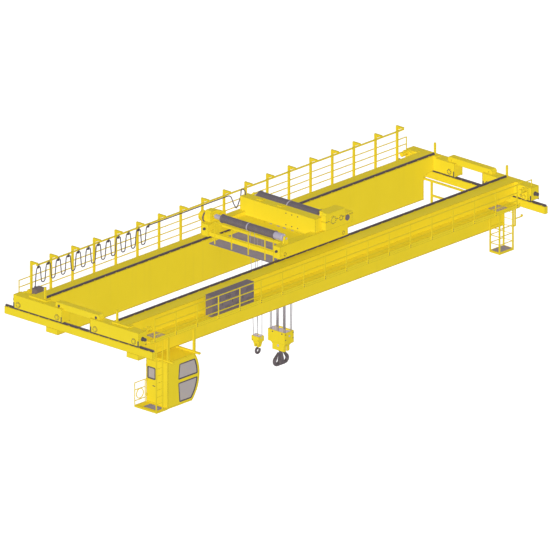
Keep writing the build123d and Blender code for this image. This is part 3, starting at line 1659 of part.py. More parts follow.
parts = {
    "runway_beams": loose(left_and_right(runway_beam())),
    "runway_rails": runway_rails(),
    "runway_seats": runway_seats(),
    "far_girder": far_girder,
    "near_girder": Rot(0, 0, 180) * far_girder,
    "trolley_rails": trolley_rails(),
    "end_stops": end_stops(),
    "carriages": loose(four_corners(carriage())),
    "tie_beams": loose(left_and_right(tie_beam())),
    "carriage_buffers": carriage_buffers(),
    "rail_sweeps": rail_sweeps(),
    "travel_drives": loose(four_corners(travel_drive())),
    "near_outer_wheels": bridge_wheels(-outer_wheel_y),
    "near_inner_wheels": bridge_wheels(-inner_wheel_y),
    "far_inner_wheels": bridge_wheels(inner_wheel_y),
    "far_outer_wheels": bridge_wheels(outer_wheel_y),
    "near_walkway": near_walkway(),
    "far_walkway": far_walkway(),
    "near_railing": near_railing(),
    "far_railing": far_railing(),
    "festoon_posts": festoon_posts(),
    "festoon_rail": festoon_rail(),
    "festoon_cable": festoon_cable(),
    "electric_cabinets": loose([electric_cabinet(), terminal_box()]),
    "cab_floor": cab_floor(),
    "cab_roof": cab_roof(),
    "cab_rear_wall": cab_rear_wall(),
    "cab_side_walls": cab_side_walls(),
    "cab_front": cab_front(),
    "cab_glass": cab_glass(),
    "cab_hangers": cab_hangers(),
    "cab_platform": cab_platform(),
    "landing_guards": loose([platform_railing(), cab_ladder()]),
    "gratings": gratings(),
    "service_basket": loose([basket_sides(), basket_rails()]),
    "collector_arm": collector_arm(),
    "end_frame": end_frame(),
    "cab_door": cab_door(),
    "cab_door_glass": cab_door_glass(),
    "side_beams": side_beams(),
    "trolley_frame": trolley_frame(),
    "cross_beam": cross_beam(),
    "trolley_buffers": trolley_buffers(),
    "left_trolley_wheels": trolley_wheels(trolley_wheel_left),
    "right_trolley_wheels": trolley_wheels(trolley_wheel_right),
    "service_platform": service_platform(),
    "service_railing": loose([service_railing(), service_hangers()]),
    "drum_pedestals": drum_pedestals(),
    "hoist_gearboxes": loose([main_gearbox(), aux_gearbox()]),
    "hoist_motors": hoist_motors(),
    "main_drum": main_drum(),
    "aux_drum": aux_drum(),
    "main_ropes": main_ropes(),
    "aux_ropes": aux_ropes(),
    "main_block": main_block(),
    "main_sheaves": main_sheaves(),
    "aux_block": aux_block(),
    "aux_sheaves": aux_sheaves(),
    "main_hook": main_hook(),
    "aux_hook": aux_hook(),
}

home = Pos(seat_centre_x, -near_seat_y, -seat_bottom)
os.makedirs("parts", exist_ok=True)
for name, shape in parts.items():
    export_step(home * shape, f"parts/{name}.step")
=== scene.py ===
import json
import math

import bmesh
import bpy
from mathutils import Matrix, Vector


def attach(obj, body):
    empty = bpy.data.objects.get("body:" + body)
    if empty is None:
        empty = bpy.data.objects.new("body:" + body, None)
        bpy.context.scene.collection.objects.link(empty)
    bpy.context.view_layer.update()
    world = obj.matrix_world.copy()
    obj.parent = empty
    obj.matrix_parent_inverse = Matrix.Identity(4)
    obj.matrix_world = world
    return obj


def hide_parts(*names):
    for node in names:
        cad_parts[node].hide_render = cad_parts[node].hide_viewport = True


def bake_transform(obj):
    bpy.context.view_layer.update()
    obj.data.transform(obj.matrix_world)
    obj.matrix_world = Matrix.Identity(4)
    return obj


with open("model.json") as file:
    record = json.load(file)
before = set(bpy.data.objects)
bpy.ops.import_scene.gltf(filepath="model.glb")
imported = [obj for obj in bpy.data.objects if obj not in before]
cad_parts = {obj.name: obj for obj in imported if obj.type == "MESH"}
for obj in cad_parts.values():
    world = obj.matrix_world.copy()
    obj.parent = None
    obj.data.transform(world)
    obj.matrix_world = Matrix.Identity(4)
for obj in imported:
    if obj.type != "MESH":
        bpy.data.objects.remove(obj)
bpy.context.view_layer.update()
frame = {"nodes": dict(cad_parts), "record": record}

# lengths are metres; the crane's own centre lies at mid-span, at the top of the trolley rails
craneCentre = Vector((12.58, 3.25, 1.5203))


def spot(x, y, z):
    return craneCentre + Vector((x, y, z))


def report(stage):
    print("stage:", stage)


# node helpers, shared by materials and geometry trees

def newGroup(name, kind, inputs, outputs):
    # sockets are listed by type; hands back the tree, the sockets that it is given and those that it puts out
    tree = bpy.data.node_groups.new(name, kind)
    for way, sockets in (("INPUT", inputs), ("OUTPUT", outputs)):
        for socket, labels in sockets.items():
            for label in labels:
                tree.interface.new_socket(label, in_out=way, socket_type="NodeSocket" + socket)
    return tree, tree.nodes.new("NodeGroupInput").outputs, tree.nodes.new("NodeGroupOutput").inputs


def addNode(tree, kind, given=None):
    # each given value is another node's output, a setting or a plain input; hands back the node's outputs
    node = tree.nodes.new(kind)
    for key, value in (given or {}).items():
        if isinstance(value, bpy.types.NodeSocket):
            tree.links.new(value, node.inputs[key])
        elif isinstance(key, str) and hasattr(node, key):
            setattr(node, key, value)
        else:
            node.inputs[key].default_value = value
    return node.outputs


def mathNode(tree, operation, a, b):
    return addNode(tree, "ShaderNodeMath", {"operation": operation, 0: a, 1: b})[0]


def vectorNode(tree, x, y, z):
    return addNode(tree, "ShaderNodeCombineXYZ", {0: x, 1: y, 2: z})[0]


def stretch(tree, value, to, within=(0.0, 1.0)):
    # a value within one range becomes one within another
    given = {0: value, 1: within[0], 2: within[1], 3: to[0], 4: to[1]}
    return addNode(tree, "ShaderNodeMapRange", given)["Result"]


# materials

def makeWeatherGroup():
    # tone drifts slowly over a surface, speck is the paint's own fine grain, run is a streak down a side
    look = {"toneDetail": 4.0, "toneRoughness": 0.55, "speckDetail": 2.0, "runDetail": 3.0,
            "runStretch": (1.0, 1.0, 0.06), "runWithin": (0.52, 0.78)}
    tree, given, out = newGroup("weather", "ShaderNodeTree", {
        "Vector": ("Vector",), "Float": ("Drift", "Grain", "Streaks")}, {"Float": ("Tone", "Speck", "Run")})

    def noise(vector, scale, detail, roughness=0.5):
        return addNode(tree, "ShaderNodeTexNoise", {
            "Vector": vector, "Scale": given[scale], "Detail": detail, "Roughness": roughness})["Fac"]

    tree.links.new(noise(given["Vector"], "Drift", look["toneDetail"], look["toneRoughness"]), out["Tone"])
    tree.links.new(noise(given["Vector"], "Grain", look["speckDetail"]), out["Speck"])
    squeezed = addNode(tree, "ShaderNodeVectorMath", {
        "operation": "MULTIPLY", 0: given["Vector"], 1: look["runStretch"]})["Vector"]
    streak = noise(squeezed, "Streaks", look["runDetail"])
    tree.links.new(stretch(tree, streak, (0.0, 1.0), look["runWithin"]), out["Run"])
    return tree


weatherGroup = makeWeatherGroup()


def newMaterial(name, plain):
    # the plain values are set on the shader's own sockets
    material = bpy.data.materials.new(name)
    material.use_nodes = True
    shader = material.node_tree.nodes["Principled BSDF"].inputs
    for label, value in plain.items():
        shader[label].default_value = value
    return material, material.node_tree, shader


def addWeather(tree, look):
    return addNode(tree, "ShaderNodeGroup", {
        "node_tree": weatherGroup, "Vector": addNode(tree, "ShaderNodeTexCoord")["Object"],
        "Drift": look.get("drift", 0.6), "Grain": look.get("grain", 90.0), "Streaks": 5.0})


def mixColour(tree, share, first, second):
    # each colour is another node's output or three plain values
    first, second = ((*colour, 1.0) if isinstance(colour, tuple) else colour for colour in (first, second))
    return addNode(tree, "ShaderNodeMix", {"data_type": "RGBA", 0: share, 6: first, 7: second})[2]


def surfaceMaterial(name, look):
    edge = {"samples": 4, "within": (0.995, 0.8)}
    material, tree, shader = newMaterial(name, {
        "Metallic": look.get("metallic", 0.0), "Specular IOR Level": look.get("specular", 0.4)})
    weather = addWeather(tree, look)
    painted = mixColour(tree, weather["Tone"], look["low"], look["high"])
    dirt = mathNode(tree, "MULTIPLY", weather["Run"], look.get("dirt", 0.15))
    painted = mixColour(tree, dirt, painted, look.get("dirtColour", (0.25, 0.2, 0.1)))
    if "edgeShadeColour" in look:
        # painted shade: the colour turns darker along edges and in corners, where shade falls
        rounded = addNode(tree, "ShaderNodeBevel", {"samples": edge["samples"], "Radius": look["edgeShadeWidth"]})
        flat = addNode(tree, "ShaderNodeNewGeometry")
        turned = addNode(tree, "ShaderNodeVectorMath", {
            "operation": "DOT_PRODUCT", 0: rounded["Normal"], 1: flat["True Normal"]})["Value"]
        edgeShaded = stretch(tree, turned, (0.0, look["edgeShadeStrength"]), edge["within"])
        painted = mixColour(tree, edgeShaded, painted, look["edgeShadeColour"])
    tree.links.new(painted, shader["Base Color"])
    tree.links.new(stretch(tree, weather["Speck"], look["rough"]), shader["Roughness"])
    bump = addNode(tree, "ShaderNodeBump", {"Strength": 0.05, "Distance": 0.002, "Height": weather["Speck"]})
    tree.links.new(bump["Normal"], shader["Normal"])
    return material


looks = {
    # the yellow paint's edge colour is painted shade, darker along edges and in corners
    "yellow_paint": {"low": (0.70, 0.55, 0.018), "high": (0.76, 0.60, 0.024), "rough": (0.42, 0.6),
                     "specular": 0.1, "dirt": 0.10, "dirtColour": (0.55, 0.42, 0.04),
                     "edgeShadeColour": (0.22, 0.155, 0.012), "edgeShadeWidth": 0.03, "edgeShadeStrength": 0.75},
    "railing_paint": {"low": (0.62, 0.485, 0.017), "high": (0.68, 0.535, 0.022), "rough": (0.42, 0.6),
                      "specular": 0.1, "dirt": 0.10, "dirtColour": (0.55, 0.42, 0.04)},
    "dark_steel": {"low": (0.05, 0.045, 0.05), "high": (0.085, 0.075, 0.085), "rough": (0.45, 0.7),
                   "metallic": 0.4, "grain": 140.0},
    "rail_steel": {"low": (0.085, 0.07, 0.095), "high": (0.12, 0.10, 0.13), "rough": (0.35, 0.6),
                   "metallic": 0.5, "dirtColour": (0.12, 0.07, 0.05), "dirt": 0.3},
    "grey_paint": {"low": (0.125, 0.1, 0.117), "high": (0.165, 0.135, 0.152), "rough": (0.4, 0.55),
                   "specular": 0.3},
    "galvanised": {"low": (0.2, 0.172, 0.197), "high": (0.27, 0.235, 0.262), "rough": (0.45, 0.7),
                   "metallic": 0.2, "drift": 3.0},
    "rope_wire": {"low": (0.27, 0.25, 0.285), "high": (0.36, 0.335, 0.375), "rough": (0.35, 0.5),
                  "metallic": 0.3, "grain": 400.0},
    "cable_rubber": {"low": (0.06, 0.05, 0.07), "high": (0.09, 0.075, 0.1), "rough": (0.55, 0.75),
                     "grain": 300.0},
    "buffer_rubber": {"low": (0.045, 0.038, 0.05), "high": (0.075, 0.065, 0.08), "rough": (0.6, 0.8),
                      "grain": 200.0},
    "drum_steel": {"low": (0.105, 0.088, 0.102), "high": (0.145, 0.12, 0.137), "rough": (0.4, 0.6),
                   "metallic": 0.2, "grain": 120.0},
    "hub_steel": {"low": (0.36, 0.33, 0.42), "high": (0.45, 0.42, 0.52), "rough": (0.35, 0.5),
                  "metallic": 0.2, "grain": 120.0},
    # the sheaves' own lilac, painted lighter to offset the shade inside the blocks
    "sheave_lit_steel": {"low": (0.42, 0.39, 0.48), "high": (0.52, 0.48, 0.58), "rough": (0.4, 0.6),
                     "metallic": 0.2, "grain": 120.0},
    "hook_steel": {"low": (0.07, 0.057, 0.067), "high": (0.105, 0.086, 0.098), "rough": (0.4, 0.6),
                   "metallic": 0.5, "grain": 60.0},
}
materials = {slot: surfaceMaterial(slot, look) for slot, look in looks.items()}


def makeGlass():
    rough = (0.05, 0.16)
    material, tree, shader = newMaterial("window_glass", {
        "Base Color": (0.36, 0.32, 0.31, 1.0), "Alpha": 0.85, "Specular IOR Level": 0.6})
    tree.links.new(stretch(tree, addWeather(tree, {})["Tone"], rough), shader["Roughness"])
    return material


materials["window_glass"] = makeGlass()

# a CAD node wears its slot's own material unless it is named here
slotOf = {row["node"]: row["material_slot"] for row in frame["record"]["subparts"]}
# the sheaves' finish is painted light: a lighter lilac against the shade inside the blocks
finishOf = {"main_sheaves": "sheave_lit_steel", "aux_sheaves": "sheave_lit_steel"}
thinNodes = ("near_railing", "far_railing", "festoon_posts", "festoon_rail", "landing_guards", "service_basket",
             "service_railing", "end_frame", "collector_arm", "cab_hangers", "cab_platform")
finishOf.update({node: "railing_paint" for node in thinNodes})
for node, shown in frame["nodes"].items():
    shown.data.materials.clear()
    shown.data.materials.append(materials[finishOf.get(node, slotOf[node])])
report("materials on the CAD nodes")


# mesh helpers

def newObject(name, data):
    made = bpy.data.objects.new(name, data)
    bpy.context.collection.objects.link(made)
    return made


def buildMesh(name, builder):
    mesh = bpy.data.meshes.new(name)
    work = bmesh.new()
    builder(work)
    work.to_mesh(mesh)
    work.free()
    return mesh


def meshPiece(name, builder, slot, body, replaced=(), finish=None):
    # the finish is the slot's own material unless another one is named
    mesh = buildMesh(name, builder)
    mesh.materials.append(materials[finish or slot])
    piece = newObject(name, mesh)
    if body:
        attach(piece, body)
    if replaced:
        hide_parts(*replaced)
    return piece


def boxAt(work, x, y, z, edge=0.0):
    # a box between two ends on each axis, with its edges rounded if an edge size is given
    size = Vector((x[1] - x[0], y[1] - y[0], z[1] - z[0]))
    centre = spot((x[0] + x[1]) / 2, (y[0] + y[1]) / 2, (z[0] + z[1]) / 2)
    place = Matrix.Translation(centre) @ Matrix.Diagonal((*size, 1.0))
    made = bmesh.ops.create_cube(work, size=1.0, matrix=place)["verts"]
    if edge:
        edges = list({held for vert in made for held in vert.link_edges})
        bmesh.ops.bevel(work, geom=edges, offset=edge, segments=2, affect="EDGES", profile=0.5)


def boxes(work, rows):
    # each row gives a box by x, y, z and, if it is rounded, the size of its edge
    for row in rows:
        boxAt(work, *row)


def skin(work, rings):
    # the faces between each ring of points and the next
    faces = []
    for near, far in zip(rings, rings[1:]):
        for k in range(len(near)):
            j = (k + 1) % len(near)
            faces.append(work.faces.new((near[k], near[j], far[j], far[k])))
    return faces


def sweepTube(work, path, radius, sides):
    rings, side = [], None
    for i, point in enumerate(path):
        along = (path[min(i + 1, len(path) - 1)] - path[max(i - 1, 0)]).normalized()
        if side is None:
            side = along.orthogonal().normalized()
        side = (side - along * side.dot(along)).normalized()
        up = along.cross(side)
        turns = [2 * math.pi * k / sides for k in range(sides)]
        rings.append([work.verts.new(point + radius * (math.cos(turn) * side + math.sin(turn) * up))
                      for turn in turns])
    for face in skin(work, rings):
        face.smooth = True
    work.faces.new(list(reversed(rings[0])))
    work.faces.new(rings[-1])


def lathe(work, profile, centre, axis, steps=32):
    # profile points are (along, out) from the centre; the axis is x, y or z
    rings = []
    for along, out in profile:
        ring = []
        for k in range(steps):
            turn = 2 * math.pi * k / steps
            a, b = out * math.cos(turn), out * math.sin(turn)
            offset = {"x": (along, a, b), "y": (a, along, b), "z": (a, b, along)}[axis]
            ring.append(work.verts.new(spot(*centre) + Vector(offset)))
        rings.append(ring)
    faces = skin(work, rings) + [work.faces.new(ring) for ring in (rings[0], rings[-1])]
    bmesh.ops.recalc_face_normals(work, faces=faces)


def ringPlate(work, outer, inner, place, low, high):
    # a frame between two outlines with as many points; place turns (a, b, height) into a point
    lines = ((outer, low), (outer, high), (inner, high), (inner, low))
    loops = [[work.verts.new(place(a, b, height)) for a, b in line] for line, height in lines]
    bmesh.ops.recalc_face_normals(work, faces=skin(work, loops + loops[:1]))


def roundCorners(outline, radius, steps=4):
    # each sharp corner of a closed outline becomes an arc
    rounded, sharp = [], math.radians(25)
    count = len(outline)
    for i in range(count):
        before, at, after = (Vector(outline[(i + k) % count]) for k in (-1, 0, 1))
        into, away = (at - before).normalized(), (after - at).normalized()
        turn = into.angle(away)
        if turn < sharp:
            rounded.append(tuple(at))
            continue
        back = radius * math.tan(turn / 2)
        start, end = at - into * back, at + away * back
        for k in range(steps + 1):
            share = k / steps
            rounded.append(tuple(start * (1 - share) ** 2 + at * 2 * share * (1 - share) + end * share ** 2))
    return rounded


# geometry trees for what repeats

def newGeometryTree(name, inputs):
    return newGroup(name, "GeometryNodeTree", {**inputs, "Material": ("Material",)}, {"Geometry": ("Geometry",)})


def closeTree(tree, given, out, geometry):
    real = addNode(tree, "GeometryNodeRealizeInstances", {"Geometry": geometry})["Geometry"]
    painted = addNode(tree, "GeometryNodeSetMaterial", {"Geometry": real, "Material": given["Material"]})
    tree.links.new(painted["Geometry"], out["Geometry"])
    return tree


def joinAll(tree, sources):
    join = tree.nodes.new("GeometryNodeJoinGeometry")
    for source in sources:
        tree.links.new(source, join.inputs["Geometry"])
    return join.outputs["Geometry"]


def meshLine(tree, count, start, step):
    given = {"Count": count, "Start Location": start, "Offset": step}
    return addNode(tree, "GeometryNodeMeshLine", given)["Mesh"]


def cubesOn(tree, points, size, **more):
    cube = addNode(tree, "GeometryNodeMeshCube", {"Size": size})["Mesh"]
    return copiesOn(tree, points, cube, **more)


def copiesOn(tree, points, piece, **more):
    given = {"Points": points, "Instance": piece, **more}
    return addNode(tree, "GeometryNodeInstanceOnPoints", given)["Instances"]


def makeGratingTree():
    # bearing bars cross the length, thinner bars cross the width, and a band closes the edge
    tree, given, out = newGeometryTree("grating", {
        "Float": ("Length", "Width", "Pitch", "Cross Pitch", "Bar", "Depth")})
    deep, half = given["Depth"], mathNode(tree, "MULTIPLY", given["Depth"], 0.5)
    runs = [
        ("Length", "Width", given["Pitch"], deep), ("Width", "Length", given["Cross Pitch"], half),
        ("Length", "Width", None, deep), ("Width", "Length", None, deep),
    ]
    bars = []
    for across, along, pitch, depth in runs:
        room = mathNode(tree, "SUBTRACT", given[across], given["Bar"])
        gaps = 1
        if pitch is not None:
            gaps = mathNode(tree, "MAXIMUM", mathNode(tree, "ROUND", mathNode(tree, "DIVIDE", room, pitch), 0), 1)
        start, step = mathNode(tree, "MULTIPLY", room, -0.5), mathNode(tree, "DIVIDE", room, gaps)
        isLength = across == "Length"
        start, step = (vectorNode(tree, *((value, 0, 0) if isLength else (0, value, 0))) for value in (start, step))
        line = meshLine(tree, mathNode(tree, "ADD", gaps, 1), start, step)
        bar = (given["Bar"], given[along], depth) if isLength else (given[along], given["Bar"], depth)
        bars.append(cubesOn(tree, line, vectorNode(tree, *bar)))
    return closeTree(tree, given, out, joinAll(tree, bars))


def makeBoltTree():
    # a washer and a hexagon head stand on each given point; the washer's size is a share of the head's
    washer = {"sides": 12, "radius": 1.45, "height": 0.3}
    tree, given, out = newGeometryTree("bolts", {
        "Geometry": ("Points",), "Vector": ("Turn",), "Float": ("Head", "Height")})
    washerHeight = mathNode(tree, "MULTIPLY", given["Height"], washer["height"])
    discs = [
        (washer["sides"], mathNode(tree, "MULTIPLY", given["Head"], washer["radius"]), washerHeight, 0.0),
        (6, given["Head"], given["Height"], washerHeight),
    ]
    stack = []
    for sides, radius, height, foot in discs:
        disc = addNode(tree, "GeometryNodeMeshCylinder", {"Vertices": sides, "Radius": radius, "Depth": height})
        middle = mathNode(tree, "ADD", mathNode(tree, "MULTIPLY", height, 0.5), foot)
        stack.append(addNode(tree, "GeometryNodeTransform", {
            "Geometry": disc["Mesh"], "Translation": vectorNode(tree, 0, 0, middle)})["Geometry"])
    return closeTree(tree, given, out, copiesOn(tree, given["Points"], joinAll(tree, stack), Rotation=given["Turn"]))


def makeRowTree():
    # one box repeated along a line
    tree, given, out = newGeometryTree("row", {"Int": ("Count",), "Vector": ("Start", "Step", "Size")})
    line = meshLine(tree, given["Count"], given["Start"], given["Step"])
    return closeTree(tree, given, out, cubesOn(tree, line, given["Size"]))


def makeFinTree():
    # cooling fins stand on a cylinder about Z
    tree, given, out = newGeometryTree("fins", {
        "Int": ("Count",), "Float": ("Radius", "Length", "Height", "Thickness")})
    middle = mathNode(tree, "ADD", given["Radius"], mathNode(tree, "MULTIPLY", given["Height"], 0.5))
    circle = addNode(tree, "GeometryNodeMeshCircle", {"Vertices": given["Count"], "Radius": middle})["Mesh"]
    turn = addNode(tree, "FunctionNodeAlignRotationToVector", {
        "axis": "X", "pivot_axis": "Z", "Vector": addNode(tree, "GeometryNodeInputPosition")["Position"]})
    size = vectorNode(tree, given["Height"], given["Thickness"], given["Length"])
    return closeTree(tree, given, out, cubesOn(tree, circle, size, Rotation=turn["Rotation"]))


gratingTree = makeGratingTree()
boltTree = makeBoltTree()
rowTree = makeRowTree()
finTree = makeFinTree()


def grow(tree, values, slot, points=()):
    # runs a geometry tree on a mesh of loose points and hands back the plain mesh that it makes
    seed = bpy.data.meshes.new("grown")
    seed.from_pydata(points, [], [])
    holder = newObject("grown", seed)
    modifier = holder.modifiers.new("grow", "NODES")
    modifier.node_group = tree
    for item in tree.interface.items_tree:
        if item.item_type == "SOCKET" and item.in_out == "INPUT":
            value = materials[slot] if item.name == "Material" else values.get(item.name)
            if value is not None:
                modifier[item.identifier] = value
    bpy.context.view_layer.update()
    grown = bpy.data.meshes.new_from_object(holder.evaluated_get(bpy.context.evaluated_depsgraph_get()))
    bpy.data.objects.remove(holder)
    return grown


def joinGrown(name, grown, slot, body, replaced=()):
    # several grown meshes, each with its place, become one piece on one body
    def build(work):
        for mesh, place in grown:
            mesh.transform(place)
            work.from_mesh(mesh)
            bpy.data.meshes.remove(mesh)
    return meshPiece(name, build, slot, body, replaced)


axisTurn = {
    "+x": (0.0, math.pi / 2, 0.0), "-x": (0.0, -math.pi / 2, 0.0), "+y": (-math.pi / 2, 0.0, 0.0),
    "-y": (math.pi / 2, 0.0, 0.0), "+z": (0.0, 0.0, 0.0),
}
here = Matrix.Identity(4)


def boxRow(count, start, step, size, slot):
    values = {"Count": count, "Start": spot(*start), "Step": step, "Size": size}
    return grow(rowTree, values, slot), here


# gratings

def gratingPatch(x, y, top, look):
    values = {"Length": x[1] - x[0], "Width": y[1] - y[0], **look}
    centre = spot((x[0] + x[1]) / 2, (y[0] + y[1]) / 2, top - look["Depth"] / 2)
    return grow(gratingTree, values, "galvanised"), Matrix.Translation(centre)


def roundHole(x, y, holeX, holeY):
    # the four rectangles that surround a hole
    return [((x[0], holeX[0]), y), ((holeX[1], x[1]), y), (holeX, (y[0], holeY[0])), (holeX, (holeY[1], y[1]))]


def makeGratings():
    deep = {"Pitch": 0.041, "Cross Pitch": 0.1, "Bar": 0.008, "Depth": 0.05}
    thin = {**deep, "Depth": 0.03, "Pitch": 0.036}
    lid = {**thin, "Depth": 0.008, "Bar": 0.012}
    tops = {"service": -0.2, "landing": -4.3, "basket": -2.79, "hatch": -0.892}
    service = {"x": (-2.25, -0.2), "y": (-1.93, 1.93), "holeX": (-1.65, -0.9), "holeY": (-0.32, 0.32)}
    joinGrown("serviceGrating", [gratingPatch(x, y, tops["service"], deep) for x, y in roundHole(**service)],
              "galvanised", "trolley", ["service_platform"])
    landing = {"x": (-11.52, -10.89), "y": (-3.46, -2.2), "holeX": (-11.42, -10.96), "holeY": (-3.4, -2.56)}
    basket = {"x": (10.73, 11.54), "y": (-3.487, -2.99)}
    hatch = {"x": (-11.17, 11.06), "half": 0.33, "y": (-3.4, -2.8)}
    grown = [gratingPatch(landing["holeX"], landing["holeY"], tops["landing"], thin),
             gratingPatch(basket["x"], basket["y"], tops["basket"], thin)]
    grown += [gratingPatch((x - hatch["half"], x + hatch["half"]), hatch["y"], tops["hatch"], lid)
              for x in hatch["x"]]
    joinGrown("landingGratings", grown, "galvanised", "bridge", ["gratings"])
    plateZ = (tops["landing"] - thin["Depth"], tops["landing"])
    plates = [(x, y, plateZ) for x, y in roundHole(**landing)]
    meshPiece("landingPlates", lambda work: boxes(work, plates), "yellow_paint", "bridge", ["gratings"])


makeGratings()
report("gratings")


# bolts and clips

def bolts(axis, points, size=(0.016, 0.014)):
    # bolt heads on a face that looks along the axis; the size is a head's radius and height
    values = {"Turn": axisTurn[axis], "Head": size[0], "Height": size[1]}
    return grow(boltTree, values, "dark_steel", [spot(*point) for point in points]), here


def evenly(first, pitch, count):
    # places along a line, given by the first, the pitch and their number
    return [first + i * pitch for i in range(count)]


def boltRing(axis, centre, radius, count, size=(0.016, 0.014)):
    points = []
    for k in range(count):
        a, b = (radius * f(2 * math.pi * (k + 0.5) / count) for f in (math.cos, math.sin))
        offset = {"x": (0, a, b), "y": (a, 0, b), "z": (a, b, 0)}[axis[1]]
        points.append([c + o for c, o in zip(centre, offset)])
    return bolts(axis, points, size)


def makeBridgeBolts():
    # each boss of a drive is given along, up and by the radius of its bolts
    cover = {"ring": (0.098, 8), "outerX": 13.03, "innerX": 12.47, "z": -0.615, "outerY": 3.46, "innerY": 1.14,
             "flat": (0.016, 0.004)}
    drive = {"x": 12.335, "bosses": ((-0.145, 0.215, 0.055), (-0.165, 0.02, 0.042), (0.0, 0.0, 0.072)), "count": 6,
             "bolt": (0.009, 0.008)}
    grown = []
    for sign, outward, inward in ((1, "+x", "-x"), (-1, "-x", "+x")):
        for side in (-1, 1):
            for y in (cover["outerY"], cover["innerY"]):
                centre = (sign * cover["outerX"], side * y, cover["z"])
                grown.append(boltRing(outward, centre, *cover["ring"], cover["flat"]))
            centre = (sign * cover["innerX"], side * cover["innerY"], cover["z"])
            grown.append(boltRing(inward, centre, *cover["ring"]))
            for along, up, radius in drive["bosses"]:
                centre = (sign * drive["x"], side * (cover["outerY"] + along), cover["z"] + up)
                grown.append(boltRing(inward, centre, radius, drive["count"], drive["bolt"]))
    joinGrown("carriageBolts", grown, "dark_steel", "bridge")
    posts = {"x": (-11.7725, 1.385, 18), "y": -3.595, "z": (-0.93, -0.84), "bolt": (0.014, 0.012)}
    points = [(x, posts["y"], z) for x in evenly(*posts["x"]) for z in posts["z"]]
    joinGrown("postBolts", [bolts("-y", points, posts["bolt"])], "dark_steel", "bridge")


def makeTrolleyBolts():
    cover = {"ring": (0.068, 6, (0.012, 0.01)), "y": 2.375, "z": 0.2503, "wheels": (-1.98, 1.81)}
    grown = [boltRing(outward, (x, sign * cover["y"], cover["z"]), *cover["ring"])
             for sign, outward in ((1, "+y"), (-1, "-y")) for x in cover["wheels"]]
    # each bearing cap of the gear case is given by its centre, the radius of its bolts and their number
    caps = (((0.92, -2.59, 1.13), 0.155, 10), ((1.42, -2.59, 1.11), 0.1, 8))
    grown += [boltRing("-y", *cap) for cap in caps]
    flange = {"x": (0.5, 0.138, 13), "y": -2.565, "z": 1.125, "bolt": (0.014, 0.02)}
    points = [(x, flange["y"], flange["z"]) for x in evenly(*flange["x"])]
    grown.append(bolts("+z", points, flange["bolt"]))
    beam = {"x": 0.1, "y": (-1.2, -0.85, -0.5), "z": (0.62, 1.16), "bolt": (0.02, 0.016)}
    grown.append(bolts("-x", [(beam["x"], y, z) for y in beam["y"] for z in beam["z"]], beam["bolt"]))
    joinGrown("trolleyBolts", grown, "dark_steel", "trolley")


def boltPair(axis, points, centreX, size):
    # the bolts on one face of a block and, turned half round about its axis, those on the opposite face
    far = [(2 * centreX - x, -y, z) for x, y, z in points]
    return [bolts("-" + axis, points, size), bolts("+" + axis, far, size)]


def makeBlockBolts():
    main = {"x": 0.31, "ends": [(0.02, y, -4.53) for y in (-0.33, 0.23)], "endBolt": (0.022, 0.018),
            "sides": [(x, -0.51, z) for x in (0.07, 0.55) for z in (-4.54, -4.79)], "sideBolt": (0.02, 0.016)}
    grown = boltPair("x", main["ends"], main["x"], main["endBolt"])
    grown += boltPair("y", main["sides"], main["x"], main["sideBolt"])
    joinGrown("mainBlockBolts", grown, "dark_steel", "main_block")
    small = {"x": -1.19, "ends": [(-1.355, y, -4.52) for y in (-0.17, 0.17)], "bolt": (0.014, 0.012)}
    grown = boltPair("x", small["ends"], small["x"], small["bolt"])
    joinGrown("auxBlockBolts", grown, "dark_steel", "aux_block")


def makeRailClips():
    # clips hold the rails down on both sides, at an even pitch
    lines = [
        {"name": "trolleyRailClips", "body": "bridge", "turned": False, "pitch": 0.7, "end": 12.3, "rail": 2.155,
         "offset": 0.07, "top": -0.08, "size": (0.08, 0.05, 0.022), "bolt": (0.012, 0.012)},
        {"name": "runwayRailClips", "body": "runway", "turned": True, "pitch": 0.6, "end": 4.2, "rail": 12.75,
         "offset": 0.068, "top": -0.9453, "size": (0.045, 0.08, 0.022), "bolt": None},
    ]
    for line in lines:
        def place(along, across, z):
            return (across, along, z) if line["turned"] else (along, across, z)

        count = int(2 * line["end"] / line["pitch"]) + 1
        high = line["size"][2]
        grown = []
        for across in (side * line["rail"] + lean * line["offset"] for side in (-1, 1) for lean in (-1, 1)):
            start = place(-line["end"], across, line["top"] + high / 2)
            grown.append(boxRow(count, start, place(line["pitch"], 0, 0), line["size"], "dark_steel"))
            if line["bolt"]:
                points = [place(x, across, line["top"] + high) for x in evenly(-line["end"], line["pitch"], count)]
                grown.append(bolts("+z", points, line["bolt"]))
        joinGrown(line["name"], grown, "yellow_paint", line["body"])


makeBridgeBolts()
makeTrolleyBolts()
makeBlockBolts()
makeRailClips()
report("bolts and clips")


# drums, ropes and hooks

